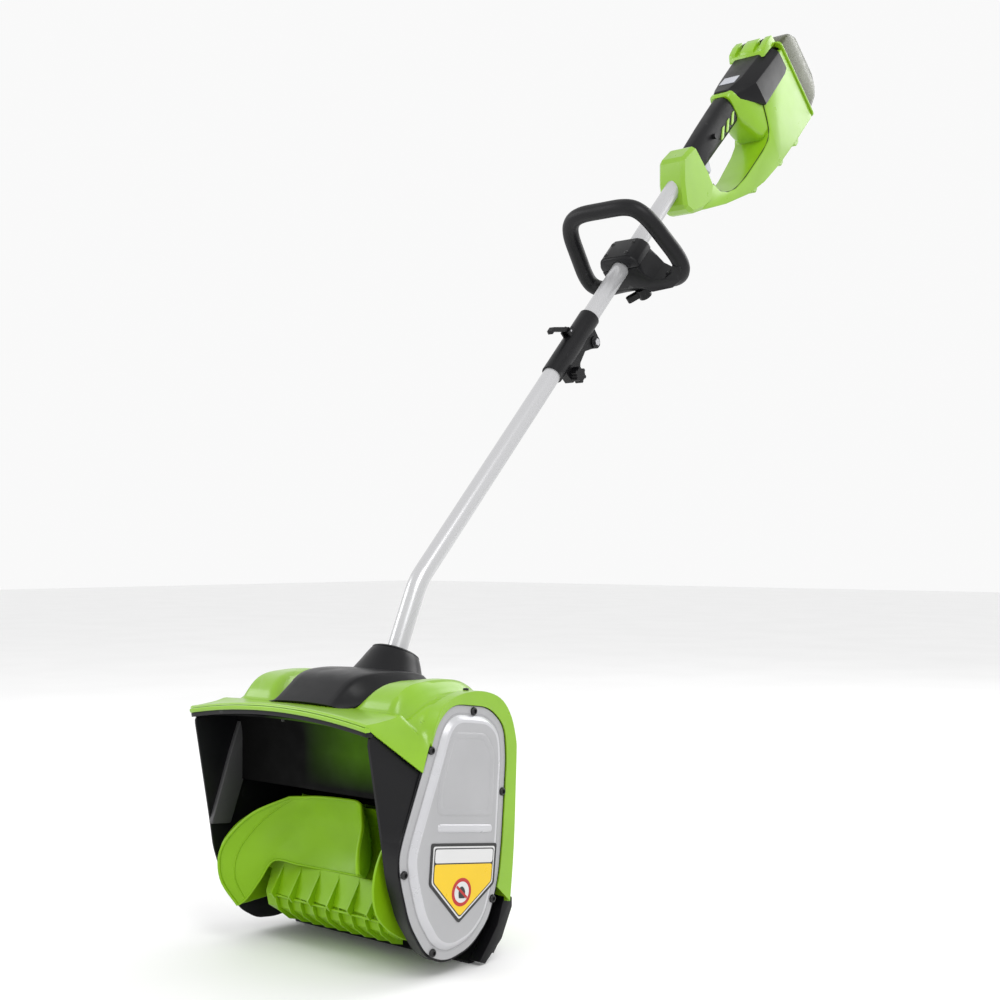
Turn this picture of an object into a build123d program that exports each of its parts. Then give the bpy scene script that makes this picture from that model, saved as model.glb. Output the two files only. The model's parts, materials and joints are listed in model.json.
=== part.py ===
from build123d import *
import os
from math import cos, sin, radians

os.makedirs("parts", exist_ok=True)

# A 30 cm cordless snow shovel. X runs across the mouth, with the belt side at +X. The mouth faces -Y, the
# shaft rises towards +Y, and +Z is up. The origin is the middle of the scraper's edge, on the ground.

# ---------------------------------------------------------------- driving dimensions
CLEAR_WIDTH = 300.0          # between the side panels
MOUTH = CLEAR_WIDTH / 2      # inner face of each side panel
PANEL = 3.0                  # wall of the side panels
BELT_CASE = 19.0             # depth of the belt case outside the right panel
CASE_FACE = MOUTH + BELT_CASE
COVER_SHEET = 1.6            # pressed sheet of the belt cover
COVER_STEP = 6.0             # how far the pressed panel stands proud
WALL = 3.0                   # wall of the green hood
CLEAR = 0.4                  # gap between neighbouring mouldings

ROTOR_AXIS = (-59.0, 99.0)   # y, z
ROTOR_R = 87.0
AXLE_R = 8.0
BEARING_R = 16.0
BOSS_R = 23.0                # bearing boss on the inside of each side panel
BOSS_DEPTH = 7.0
FIT = 0.05                   # radial gap of a running fit
MOTOR_AXIS = (-30.0, 251.0)  # y, z
MOTOR_R = 26.0
ROTOR_PULLEY_R = 42.0
MOTOR_PULLEY_R = 10.5        # the belt ratio is 4 to 1
BELT_X = MOUTH + 5.6         # inner edge of the belt
BELT_WIDTH = 8.6
PULLEY_X = MOUTH + 3.8       # inner face of both pulleys
PULLEY_WIDTH = 12.2
FLANGE = 1.5
BELT_GAP = 0.35
BELT_THICK = 2.4

BEND = (63.0, 430.0)         # y, z where the shaft turns
SHAFT_ANGLE = 47.0           # straight shaft above the ground
STUB_ANGLE = 66.5            # lower stub above the ground
STUB_LENGTH = 168.0
BEND_R = 90.0
TUBE_R = 12.5
TUBE_WALL = 1.5
COUPLER_LOW = 381.0          # distances along the shaft from the bend
COUPLER_TOP = 500.0
TUBE_SPLIT = 438.0
LOOP_AT = 630.0
COLLAR_AT = 796.0
RIM_AT = 1160.0

up = (0.0, cos(radians(SHAFT_ANGLE)), sin(radians(SHAFT_ANGLE)))
# side view of the shaft: first axis along it from the bend, second square to it and upwards, normal +X
SIDE = Plane(origin=(0, *BEND), x_dir=up, z_dir=(1, 0, 0))


def at_shaft(along, above=0.0, x=0.0):
    """Point in the part's frame, from distances along and above the shaft."""
    return SIDE.from_local_coords(Vector(along, above, x))


def across(along):
    """Plane square to the shaft: second axis upwards, normal up the shaft."""
    return Plane(origin=at_shaft(along), x_dir=(-1, 0, 0), z_dir=up)


def side_at(x):
    """Side view of the shaft, moved to x."""
    return Plane(origin=(x, *BEND), x_dir=up, z_dir=(1, 0, 0))


def yz(x):
    return Plane.YZ.offset(x)


# ---------------------------------------------------------------- housing outlines, in y and z
LEAN = 7.6                                   # the belt cover leans back by this angle
COVER_CENTRE = (-50.0, 150.0)


def leaned(points):
    """Points given in the belt cover's own axes, turned into y and z."""
    c, s = cos(radians(LEAN)), sin(radians(LEAN))
    return [(COVER_CENTRE[0] + r * c + u * s, COVER_CENTRE[1] - r * s + u * c) for r, u in points]


COVER_OUTLINE = leaned([(-24, 147), (36, 147), (65, 128), (73, 92), (78, -2), (78, -44), (68, -90), (42, -119),
                        (4, -133), (-27, -125), (-57, -91), (-77, -46), (-83, -22), (-79, 0), (-57, 79), (-45, 126)])
EAVE_FRONT = (-166.0, 281.0)
KINK = (-138.0, 143.0)


def cover_shape(grow=0.0):
    """Draw the belt cover's outline in the current sketch, grown or shrunk by grow."""
    with BuildLine() as edge:
        Polyline(*COVER_OUTLINE, close=True)
    face = make_face(edge.edges())
    fillet(face.vertices(), radius=12)
    if grow:
        offset(amount=grow)


HOOD_OUTER = [(-104, 291), (-92, 304), (-70, 312), (-20, 312), (22, 303), (46, 280), (54, 248), (50, 150), (45, 70)]
PANEL_OUTLINE = [(-162, 271), KINK, (-133, 112), (-118, 70), (-91, 30), (-66, 15), (-38, 12), (-8, 15),
                 (24, 36), (40, 68), (46, 150), (49.6, 247), (42, 278), (19.5, 299), (-20, 308), (-69, 308),
                 (-89, 300), (-100, 286), (-106, 282)]

def tube_ring(outer, inner):
    """Draw a ring in the current sketch."""
    Circle(outer)
    Circle(inner, mode=Mode.SUBTRACT)


# ---------------------------------------------------------------- side panels
with BuildPart() as left_side_panel:
    with BuildSketch(yz(-MOUTH - PANEL)) as outline:
        with BuildLine():
            Polyline(*PANEL_OUTLINE, close=True)
        make_face()
        fillet(outline.vertices(), radius=9)
    extrude(amount=PANEL)
    with BuildSketch(yz(-MOUTH)):
        with Locations(ROTOR_AXIS):
            Circle(BOSS_R)
    extrude(amount=BOSS_DEPTH)
    with BuildSketch(yz(-MOUTH - PANEL)):
        with Locations(ROTOR_AXIS):
            Circle(BEARING_R)
    extrude(amount=PANEL + BOSS_DEPTH, mode=Mode.SUBTRACT)
left_side_panel.part.label = "left_side_panel"
export_step(left_side_panel.part, "parts/left_side_panel.step")

with BuildPart() as right_side_panel:
    with BuildSketch(yz(MOUTH)) as outline:
        with BuildLine():
            Polyline(*PANEL_OUTLINE, close=True)
        make_face()
        fillet(outline.vertices(), radius=9)
    extrude(amount=PANEL)
    with BuildSketch(yz(MOUTH + PANEL)):
        cover_shape(3.0)
    extrude(amount=BELT_CASE - PANEL)
    with BuildSketch(yz(MOUTH + PANEL)):
        cover_shape(-2.0)
    extrude(amount=BELT_CASE, mode=Mode.SUBTRACT)
    with BuildSketch(yz(MOUTH)):
        with Locations(ROTOR_AXIS):
            Circle(BOSS_R)
    extrude(amount=-BOSS_DEPTH)
    with BuildSketch(yz(MOUTH - BOSS_DEPTH)):
        with Locations(ROTOR_AXIS):
            Circle(BEARING_R)
        with Locations(MOTOR_AXIS):
            Circle(MOTOR_PULLEY_R + 4)
    extrude(amount=PANEL + BOSS_DEPTH, mode=Mode.SUBTRACT)
right_side_panel.part.label = "right_side_panel"
export_step(right_side_panel.part, "parts/right_side_panel.step")

# ---------------------------------------------------------------- belt cover
SCREW_SPOTS = leaned([(11, 141), (-47, 93), (70, 53), (-73, -40), (66, -67), (-20, -119)])

with BuildPart() as belt_cover:
    with BuildSketch(yz(CASE_FACE + 0.05)):
        cover_shape()
    extrude(amount=COVER_SHEET)
    with BuildSketch(yz(CASE_FACE + COVER_SHEET)):
        cover_shape(-14)
    extrude(amount=COVER_STEP, taper=35)
    with BuildSketch(yz(CASE_FACE)):
        cover_shape(-16)
    extrude(amount=COVER_STEP, taper=35, mode=Mode.SUBTRACT)
    with BuildSketch(yz(CASE_FACE)):
        with Locations(*SCREW_SPOTS):
            Circle(2.1)
    extrude(amount=COVER_SHEET + 1, mode=Mode.SUBTRACT)
belt_cover.part.label = "belt_cover"
export_step(belt_cover.part, "parts/belt_cover.step")

with BuildPart() as belt_cover_screws:
    with BuildSketch(yz(CASE_FACE + COVER_SHEET + 0.05)):
        with Locations(*SCREW_SPOTS):
            Circle(4.2)
    extrude(amount=3)
    with BuildSketch(yz(CASE_FACE + COVER_SHEET + 3.05)):
        with Locations(*SCREW_SPOTS):
            RegularPolygon(radius=2.2, side_count=6)
    extrude(amount=-1.8, mode=Mode.SUBTRACT)
    with BuildSketch(yz(CASE_FACE + COVER_SHEET + 0.05)):
        with Locations(*SCREW_SPOTS):
            Circle(1.9)
    extrude(amount=-(COVER_SHEET + 0.05))
belt_cover_screws.part.label = "belt_cover_screws"
export_step(belt_cover_screws.part, "parts/belt_cover_screws.step")

LABEL_OUTLINE = leaned([(-42, 4), (65, 4), (62, -48), (4, -90), (-45, -48)])
with BuildPart() as cover_label:
    with BuildSketch(yz(CASE_FACE + COVER_SHEET + COVER_STEP + 0.02)):
        with BuildLine():
            Polyline(*LABEL_OUTLINE, close=True)
        make_face()
        offset(amount=-12)
    extrude(amount=0.4)
cover_label.part.label = "cover_label"
export_step(cover_label.part, "parts/cover_label.step")


# ---------------------------------------------------------------- hood, roof and rear wall
BODY_END = CASE_FACE + COVER_SHEET           # the hood reaches round the edge of the belt cover
HOOD_LEFT = -MOUTH - PANEL - 6
NOSE_HALF = 84.0
EAVE_HALF = MOUTH + PANEL + CLEAR
NOSE_REAR = 14.0
stub_dir = (0.0, cos(radians(STUB_ANGLE)), sin(radians(STUB_ANGLE)))


def on_stub(distance):
    """Plane square to the stub, a distance below the bend, its normal up the stub."""
    return Plane(origin=(0, BEND[0] - distance * stub_dir[1], BEND[1] - distance * stub_dir[2]),
                 x_dir=(1, 0, 0), z_dir=stub_dir)


def band(points, thickness, radius):
    """Draw a sheet of the given thickness on the inner side of an open outline."""
    with BuildLine() as edge:
        FilletPolyline(*points, radius=radius)
        offset(amount=thickness, side=Side.RIGHT, closed=True)
    make_face(edge.edges())


with BuildPart() as hood_shell:
    with BuildSketch(yz(HOOD_LEFT)):
        band(HOOD_OUTER, WALL, 14)
    extrude(amount=BODY_END - HOOD_LEFT)
    with BuildSketch(yz(-EAVE_HALF)):
        with BuildLine():
            Polyline(EAVE_FRONT, (-103, 291.4), (-97, 292.4), (-97, 287.2), (-158, 275.5), (-166, 272.5),
                     close=True)
        make_face()
    extrude(amount=2 * EAVE_HALF)
    with BuildSketch(yz(EAVE_HALF)):
        with BuildLine():
            Polyline((-165.4, 280.2), (-104, 290.2), (-90, 301.4), (-60, 301.4), (-112, 226), (-161.8, 272.8),
                     close=True)
        make_face()
    extrude(amount=WALL)
    with BuildSketch(yz(EAVE_HALF - 1)):
        cover_shape(3.4)
    extrude(amount=BELT_CASE + 10, mode=Mode.SUBTRACT)
    with BuildSketch(Plane.XY.offset(240)):
        with Locations((0, NOSE_REAR - 59)):
            Rectangle(2 * NOSE_HALF, 118)
    extrude(amount=90, mode=Mode.SUBTRACT)
    with BuildSketch(on_stub(150)):
        Circle(TUBE_R + 1)
    extrude(amount=60, mode=Mode.SUBTRACT)
hood_shell.part.label = "hood_shell"
export_step(hood_shell.part, "parts/hood_shell.step")

INSIDE = MOUTH - CLEAR
with BuildPart() as chamber_roof:
    with BuildSketch(yz(-INSIDE)):
        band([(-156, 272), (-126, 266), (-97, 222), (-92, 214)], 2.5, 12)
    extrude(amount=2 * INSIDE)
chamber_roof.part.label = "chamber_roof"
export_step(chamber_roof.part, "parts/chamber_roof.step")

REAR_WALL = [(-92, 211), (-60, 200), (-20, 190), (20, 162), (37, 120), (38, 90), (33, 58), (23, 40)]
with BuildPart() as rear_wall:
    with BuildSketch(yz(-INSIDE)):
        band(REAR_WALL, 2.5, 15)
    extrude(amount=2 * INSIDE)
rear_wall.part.label = "rear_wall"
export_step(rear_wall.part, "parts/rear_wall.step")

with BuildPart() as scraper_bar:
    with BuildSketch(yz(-INSIDE)):
        with BuildLine():
            Polyline((-4, 0), (5, 0), (17, 16), (27, 34), (24, 36), (14, 28), (0, 10), (-5, 3), close=True)
        make_face()
    extrude(amount=2 * INSIDE)
scraper_bar.part.label = "scraper_bar"
export_step(scraper_bar.part, "parts/scraper_bar.step")

SCRAPER_SCREW_X = [-120, -60, 0, 60, 120]
with BuildPart() as scraper_screws:
    for x in SCRAPER_SCREW_X:
        with Locations(Plane(origin=(x, 22.2, 24.9), z_dir=(0, 0.87, -0.5))):
            Cylinder(4, 2.5, align=(Align.CENTER, Align.CENTER, Align.MIN))
scraper_screws.part.label = "scraper_screws"
export_step(scraper_screws.part, "parts/scraper_screws.step")

with BuildPart() as rear_guard:
    with BuildSketch(yz(HOOD_LEFT + 3)):
        band([(49, 68.5), (50, 61), (31, 24), (20, 10)], 4, 5)
    extrude(amount=CASE_FACE - HOOD_LEFT - 6)
rear_guard.part.label = "rear_guard"
export_step(rear_guard.part, "parts/rear_guard.step")

# ---------------------------------------------------------------- motor cover, boot and shaft bracket
NOSE_BASE = 291.2
NOSE_TOP = 326.0


def frustum(shrink):
    """Loft of two rectangles: the motor cover's outside, or its inside when shrunk."""
    with BuildPart() as block:
        with BuildSketch(Plane.XY.offset(NOSE_BASE)):
            with Locations((0, -54)):
                Rectangle(2 * (NOSE_HALF - shrink), 2 * (72 - shrink))
        with BuildSketch(Plane.XY.offset(NOSE_TOP - shrink)):
            with Locations((0, -49)):
                Rectangle(2 * (60 - shrink), 2 * (35 - shrink / 2))
        loft()
    return block.part


with BuildPart() as motor_cover:
    add(frustum(0))
    add(frustum(2.5), mode=Mode.SUBTRACT)
    with BuildSketch(on_stub(150)):
        Circle(TUBE_R + 1)
    extrude(amount=60, mode=Mode.SUBTRACT)
    with BuildSketch(yz(-NOSE_HALF - 5)):
        with BuildLine():
            Polyline((NOSE_REAR - 1, 280), (NOSE_REAR - 1, 340), (40, 340), (40, 280), close=True)
        make_face()
    extrude(amount=2 * NOSE_HALF + 10, mode=Mode.SUBTRACT)
motor_cover.part.label = "motor_cover"
export_step(motor_cover.part, "parts/motor_cover.step")

BOOT_SEAT = [(-100, 326.3), (-13.6, 326.3), (3, 308.6), (22, 304), (46, 281), (60, 200), (-100, 200)]
with BuildPart() as shaft_boot:
    with BuildSketch(on_stub(142)):
        Circle(48)
    with BuildSketch(on_stub(88)):
        Circle(18)
    loft()
    with BuildSketch(yz(-60)):
        with BuildLine():
            Polyline(*BOOT_SEAT, close=True)
        make_face()
    extrude(amount=120, mode=Mode.SUBTRACT)
    with BuildSketch(on_stub(150)):
        Circle(TUBE_R + 0.1)
    extrude(amount=80, mode=Mode.SUBTRACT)
shaft_boot.part.label = "shaft_boot"
export_step(shaft_boot.part, "parts/shaft_boot.step")

with BuildPart() as shaft_bracket:
    with BuildSketch(yz(-INSIDE + 0.2)):
        with Locations((20, 236)):
            Rectangle(24, 36)
    extrude(amount=2 * INSIDE - 0.4)
    with BuildSketch(yz(-INSIDE)):
        with Locations((20, 236)):
            Rectangle(18, 30)
    extrude(amount=2 * INSIDE, mode=Mode.SUBTRACT)
    with BuildSketch(on_stub(STUB_LENGTH + 14)):
        Circle(TUBE_R + 6)
    extrude(amount=36)
    with BuildSketch(yz(-22)):
        with Locations((-3, 247)):
            Rectangle(46, 26)
    extrude(amount=44)
    with BuildSketch(on_stub(STUB_LENGTH)):
        Circle(TUBE_R + FIT)
    extrude(amount=60, mode=Mode.SUBTRACT)
shaft_bracket.part.label = "shaft_bracket"
export_step(shaft_bracket.part, "parts/shaft_bracket.step")

# ---------------------------------------------------------------- motor and belt drive
with BuildPart() as motor_can:
    with BuildSketch(yz(48)):
        with Locations(MOTOR_AXIS):
            Circle(MOTOR_R)
    extrude(amount=98)
    with BuildSketch(yz(100)):
        with Locations(MOTOR_AXIS):
            Circle(4 + FIT)
    extrude(amount=60, mode=Mode.SUBTRACT)
    with BuildSketch(yz(70)):
        with Locations(MOTOR_AXIS):
            with PolarLocations(MOTOR_R, 6):
                Rectangle(3, 9)
    extrude(amount=50, mode=Mode.SUBTRACT)
motor_can.part.label = "motor_can"
export_step(motor_can.part, "parts/motor_can.step")

with BuildPart() as motor_end_cap:
    with BuildSketch(yz(40)):
        with Locations(MOTOR_AXIS):
            Circle(MOTOR_R - 1)
    extrude(amount=8)
    fillet(motor_end_cap.faces().sort_by(Axis.X)[0].edges(), radius=3)
motor_end_cap.part.label = "motor_end_cap"
export_step(motor_end_cap.part, "parts/motor_end_cap.step")

with BuildPart() as motor_plate:
    with BuildSketch(yz(146)):
        with Locations(MOTOR_AXIS):
            RectangleRounded(58, 58, 8)
            Circle(15, mode=Mode.SUBTRACT)
            with PolarLocations(21, 4, start_angle=45):
                Circle(2.2, mode=Mode.SUBTRACT)
    extrude(amount=3.6)
motor_plate.part.label = "motor_plate"
export_step(motor_plate.part, "parts/motor_plate.step")

with BuildPart() as motor_spindle:
    with BuildSketch(yz(101)):
        with Locations(MOTOR_AXIS):
            Circle(4)
    extrude(amount=66)
motor_spindle.part.label = "motor_spindle"
export_step(motor_spindle.part, "parts/motor_spindle.step")


def pulley(axis, radius, bore):
    """Flat belt pulley with two flanges, as a list of discs along X."""
    discs = [(PULLEY_X, FLANGE, radius + 2.5), (PULLEY_X + FLANGE, PULLEY_WIDTH - 2 * FLANGE, radius),
             (PULLEY_X + PULLEY_WIDTH - FLANGE, FLANGE, radius + 2.5)]
    with BuildPart() as wheel:
        for x, width, r in discs:
            with BuildSketch(yz(x)):
                with Locations(axis):
                    Circle(r)
            extrude(amount=width)
        with BuildSketch(yz(PULLEY_X)):
            with Locations(axis):
                Circle(bore)
        extrude(amount=PULLEY_WIDTH, mode=Mode.SUBTRACT)
    return wheel.part


with BuildPart() as motor_pulley:
    add(pulley(MOTOR_AXIS, MOTOR_PULLEY_R, 4))
motor_pulley.part.label = "motor_pulley"
export_step(motor_pulley.part, "parts/motor_pulley.step")

with BuildPart() as rotor_pulley:
    add(pulley(ROTOR_AXIS, ROTOR_PULLEY_R, AXLE_R))
    with BuildSketch(yz(PULLEY_X)):
        with Locations(ROTOR_AXIS):
            with PolarLocations(26, 6):
                Circle(8)
    extrude(amount=PULLEY_WIDTH, mode=Mode.SUBTRACT)
rotor_pulley.part.label = "rotor_pulley"
export_step(rotor_pulley.part, "parts/rotor_pulley.step")


def belt_loop(gap):
    """Line of the belt round both pulleys, at a gap from them."""
    with BuildSketch(Plane.XY) as loop:
        with Locations(ROTOR_AXIS):
            Circle(ROTOR_PULLEY_R + gap)
        with Locations(MOTOR_AXIS):
            Circle(MOTOR_PULLEY_R + gap)
        make_hull()
    return loop.sketch


with BuildPart() as drive_belt:
    with BuildSketch(yz(BELT_X)):
        add(belt_loop(BELT_GAP + BELT_THICK))
        add(belt_loop(BELT_GAP), mode=Mode.SUBTRACT)
    extrude(amount=BELT_WIDTH)
drive_belt.part.label = "drive_belt"
export_step(drive_belt.part, "parts/drive_belt.step")

# ---------------------------------------------------------------- rotor
AXLE_LEFT = -MOUTH - 2
AXLE_RIGHT = CASE_FACE - 1
SHEET_HALF = 119.0           # the scoops reach this far each side
RIM_HALF = 137.0             # outer end plates
SHEET = 3.0
TIP = (28.0, 82.0)           # scoop's edge, forward of and above the axle
LIP = (25.0, -13.0)          # scoop's inner lip, in front of the axle
HUB_R = 16.0
RIB = 2.5
RIB_X = (-84, -42, 0, 42, 84)

with BuildPart() as rotor_axle:
    with BuildSketch(yz(AXLE_LEFT)):
        with Locations(ROTOR_AXIS):
            Circle(AXLE_R)
    extrude(amount=AXLE_RIGHT - AXLE_LEFT)
rotor_axle.part.label = "rotor_axle"
export_step(rotor_axle.part, "parts/rotor_axle.step")


def rotor_point(forward, height, flip=1):
    """Place a point given forward of and above the axle; flip -1 turns it half a turn."""
    return (ROTOR_AXIS[0] - flip * forward, ROTOR_AXIS[1] + flip * height)


PARTING = [(34.0, 99.0), TIP, (3.2, 46.0), (4.0, 15.0)]    # one half of the S line between the two scoops


def own_side(flip):
    """Draw the region on one scoop's side of the parting line."""
    half = [rotor_point(*point, flip) for point in PARTING]
    far_half = [rotor_point(-forward + 0.4, -height, flip) for forward, height in reversed(PARTING)]
    with BuildLine() as edge:
        parting = Spline(*half, *far_half)
        Polyline(parting @ 1, rotor_point(110, -110, flip), rotor_point(110, 110, flip), parting @ 0)
    make_face(edge.edges())


def paddle(flip):
    """One scoop of the rotor, with its half of the end plates and rims and the ribs in front of its neighbour."""
    with BuildPart() as half:
        with BuildSketch(yz(-SHEET_HALF)):
            with BuildLine() as curve:
                Spline(rotor_point(*TIP, flip), rotor_point(5, 46, flip), rotor_point(14, 12, flip),
                       rotor_point(*LIP, flip))
            trace(curve.line, line_width=SHEET)
        extrude(amount=2 * SHEET_HALF)
        for x in (-RIM_HALF, -SHEET_HALF, SHEET_HALF - SHEET, RIM_HALF - SHEET):
            with BuildSketch(yz(x)):
                with Locations(ROTOR_AXIS):
                    Circle(ROTOR_R - 0.4)
            extrude(amount=SHEET)
        for x in (-RIM_HALF, SHEET_HALF):
            with BuildSketch(yz(x)):
                with Locations(ROTOR_AXIS):
                    tube_ring(ROTOR_R - 0.4, ROTOR_R - SHEET)
            extrude(amount=RIM_HALF - SHEET_HALF)
        for x in RIB_X:
            with BuildSketch(yz(x)):
                with BuildLine():
                    Polyline(rotor_point(*LIP, flip), rotor_point(46, -56, flip), rotor_point(38, -70, flip),
                             rotor_point(14, -80, flip), rotor_point(-16, -80, flip),
                             rotor_point(-2, -48, flip), rotor_point(12, -14, flip), close=True)
                make_face()
            extrude(amount=RIB)
        with BuildSketch(yz(-SHEET_HALF)):
            with Locations(ROTOR_AXIS):
                Circle(HUB_R)
        extrude(amount=2 * SHEET_HALF)
        with BuildSketch(yz(-RIM_HALF - 1)):
            own_side(flip)
        extrude(amount=2 * RIM_HALF + 2, mode=Mode.INTERSECT)
        with BuildSketch(yz(-RIM_HALF - 1)):
            with Locations(ROTOR_AXIS):
                Circle(AXLE_R)
        extrude(amount=2 * RIM_HALF + 2, mode=Mode.SUBTRACT)
    return half.part


with BuildPart() as rotor_scoop_front:
    add(paddle(1))
rotor_scoop_front.part.label = "rotor_scoop_front"
export_step(rotor_scoop_front.part, "parts/rotor_scoop_front.step")

with BuildPart() as rotor_scoop_back:
    add(paddle(-1))
rotor_scoop_back.part.label = "rotor_scoop_back"
export_step(rotor_scoop_back.part, "parts/rotor_scoop_back.step")


def bearing(x):
    """Ball bearing in a side panel's boss, drawn as one ring."""
    with BuildPart() as ring:
        with BuildSketch(yz(x)):
            with Locations(ROTOR_AXIS):
                Circle(BEARING_R - 0.02)
                Circle(AXLE_R + FIT, mode=Mode.SUBTRACT)
        extrude(amount=BOSS_DEPTH + PANEL - 0.4)
    return ring.part


with BuildPart() as rotor_bearing_left:
    add(bearing(-MOUTH - PANEL + 0.2))
rotor_bearing_left.part.label = "rotor_bearing_left"
export_step(rotor_bearing_left.part, "parts/rotor_bearing_left.step")

with BuildPart() as rotor_bearing_right:
    add(bearing(MOUTH - BOSS_DEPTH + 0.2))
rotor_bearing_right.part.label = "rotor_bearing_right"
export_step(rotor_bearing_right.part, "parts/rotor_bearing_right.step")

with BuildPart() as left_bearing_cap:
    with BuildSketch(yz(-MOUTH - PANEL)):
        with Locations(ROTOR_AXIS):
            Circle(BOSS_R)
    extrude(amount=-4)
    fillet(left_bearing_cap.faces().sort_by(Axis.X)[0].edges(), radius=2)
left_bearing_cap.part.label = "left_bearing_cap"
export_step(left_bearing_cap.part, "parts/left_bearing_cap.step")

# ---------------------------------------------------------------- shaft and coupler
SPLIT_GAP = 1.0


with BuildPart() as lower_tube:
    with BuildLine():
        FilletPolyline(on_stub(STUB_LENGTH).origin, (0, *BEND), at_shaft(TUBE_SPLIT - SPLIT_GAP), radius=BEND_R)
    with BuildSketch(on_stub(STUB_LENGTH)):
        tube_ring(TUBE_R, TUBE_R - TUBE_WALL)
    sweep()
lower_tube.part.label = "lower_tube"
export_step(lower_tube.part, "parts/lower_tube.step")

TUBE_END = COLLAR_AT + 76
with BuildPart() as upper_tube:
    with BuildSketch(across(TUBE_SPLIT)):
        tube_ring(TUBE_R, TUBE_R - TUBE_WALL)
    extrude(amount=TUBE_END - TUBE_SPLIT)
upper_tube.part.label = "upper_tube"
export_step(upper_tube.part, "parts/upper_tube.step")

SLEEVE_R = 15.2
EAR_HALF = 7.0
BOSS_AT = (478.0, -27.0)     # along and above the shaft
KNOB_AT = (410.0, -28.0)
with BuildPart() as coupler_sleeve:
    with BuildSketch(across(COUPLER_LOW)):
        Circle(SLEEVE_R)
    extrude(amount=COUPLER_TOP - COUPLER_LOW)
    with BuildSketch(side_at(-EAR_HALF)):
        with BuildLine():
            Polyline((398, -8), (400, -33), (420, -36), (432, -25), (452, -21), (468, -30), (478, -37),
                     (488, -32), (492, -8), close=True)
        make_face()
    extrude(amount=2 * EAR_HALF)
    with BuildSketch(side_at(-EAR_HALF - 2)):
        with Locations(BOSS_AT):
            Circle(9)
    extrude(amount=2 * EAR_HALF + 4)
    with BuildSketch(side_at(-EAR_HALF)):
        with Locations((450, 17)):
            Rectangle(14, 10)
    extrude(amount=2 * EAR_HALF)
    with BuildSketch(side_at(-4.4)):
        with Locations((450, 20)):
            Rectangle(18, 12)
    extrude(amount=8.8, mode=Mode.SUBTRACT)
    with BuildSketch(side_at(-EAR_HALF)):
        with Locations((450, 19)):
            Circle(1.5)
    extrude(amount=2 * EAR_HALF, mode=Mode.SUBTRACT)
    with BuildSketch(side_at(-EAR_HALF - 3)):
        with Locations(KNOB_AT, BOSS_AT):
            Circle(3 + FIT)
    extrude(amount=2 * EAR_HALF + 6, mode=Mode.SUBTRACT)
    with BuildSketch(across(COUPLER_LOW)):
        Circle(TUBE_R + FIT)
    extrude(amount=COUPLER_TOP - COUPLER_LOW, mode=Mode.SUBTRACT)
coupler_sleeve.part.label = "coupler_sleeve"
export_step(coupler_sleeve.part, "parts/coupler_sleeve.step")

with BuildPart() as coupler_bolt:
    with BuildSketch(side_at(-EAR_HALF - 5)):
        with Locations(BOSS_AT):
            Circle(5)
    extrude(amount=3)
    with BuildSketch(side_at(-EAR_HALF - 2)):
        with Locations(BOSS_AT):
            Circle(3)
    extrude(amount=2 * EAR_HALF + 7)
    with BuildSketch(side_at(EAR_HALF + 2)):
        with Locations(BOSS_AT):
            RegularPolygon(radius=5.2, side_count=6)
            Circle(3, mode=Mode.SUBTRACT)
    extrude(amount=3)
coupler_bolt.part.label = "coupler_bolt"
export_step(coupler_bolt.part, "parts/coupler_bolt.step")

with BuildPart() as coupler_knob:
    with BuildSketch(side_at(EAR_HALF + 0.4)):
        with Locations(KNOB_AT):
            Circle(9)
            with PolarLocations(9, 6):
                Circle(2.6)
    extrude(amount=11)
    with BuildSketch(side_at(-EAR_HALF - 1)):
        with Locations(KNOB_AT):
            Circle(3)
    extrude(amount=2 * EAR_HALF + 2)
coupler_knob.part.label = "coupler_knob"
export_step(coupler_knob.part, "parts/coupler_knob.step")

LEVER_PIVOT = (450.0, 19.0)
with BuildPart() as coupler_lever:
    with BuildSketch(side_at(-4)):
        with BuildLine():
            Polyline((446, 21), (424, 40), (419, 40), (420, 45), (428, 45), (453, 23.5), (454, 17), (447, 16.6),
                     close=True)
        make_face()
    extrude(amount=8)
    with BuildSketch(side_at(-5)):
        with Locations(LEVER_PIVOT):
            Circle(1.5 + FIT)
    extrude(amount=10, mode=Mode.SUBTRACT)
coupler_lever.part.label = "coupler_lever"
export_step(coupler_lever.part, "parts/coupler_lever.step")

with BuildPart() as lever_pin:
    with BuildSketch(side_at(-EAR_HALF)):
        with Locations(LEVER_PIVOT):
            Circle(1.48)
    extrude(amount=2 * EAR_HALF)
lever_pin.part.label = "lever_pin"
export_step(lever_pin.part, "parts/lever_pin.step")

# ---------------------------------------------------------------- loop handle
LOOP_R = 12.0
LOOP_HALF = 78.0
LOOP_HIGH = 70.0
LOOP_LOW = -37.0
LOOP_CORNERS = [(-62, LOOP_HIGH), (62, LOOP_HIGH), (LOOP_HALF, 50), (LOOP_HALF, -18), (58, LOOP_LOW),
                (-58, LOOP_LOW), (-LOOP_HALF, -18), (-LOOP_HALF, 50)]
SADDLE_HALF = 34.0
SADDLE_LENGTH = 46.0
CLAMP_TOP = 19.0

with BuildPart() as loop_handle:
    with BuildLine(across(LOOP_AT)):
        FilletPolyline(*LOOP_CORNERS, radius=20, close=True)
    with BuildSketch(Plane(origin=at_shaft(LOOP_AT, LOOP_HIGH), x_dir=up, z_dir=(1, 0, 0))):
        Circle(LOOP_R)
    sweep()
    with BuildSketch(across(LOOP_AT - SADDLE_LENGTH / 2)):
        with Locations((0, -17)):
            Rectangle(2 * SADDLE_HALF, 33.6)
    extrude(amount=SADDLE_LENGTH)
    with BuildSketch(across(LOOP_AT - SADDLE_LENGTH)):
        Circle(TUBE_R + FIT)
    extrude(amount=2 * SADDLE_LENGTH, mode=Mode.SUBTRACT)
loop_handle.part.label = "loop_handle"
export_step(loop_handle.part, "parts/loop_handle.step")

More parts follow.
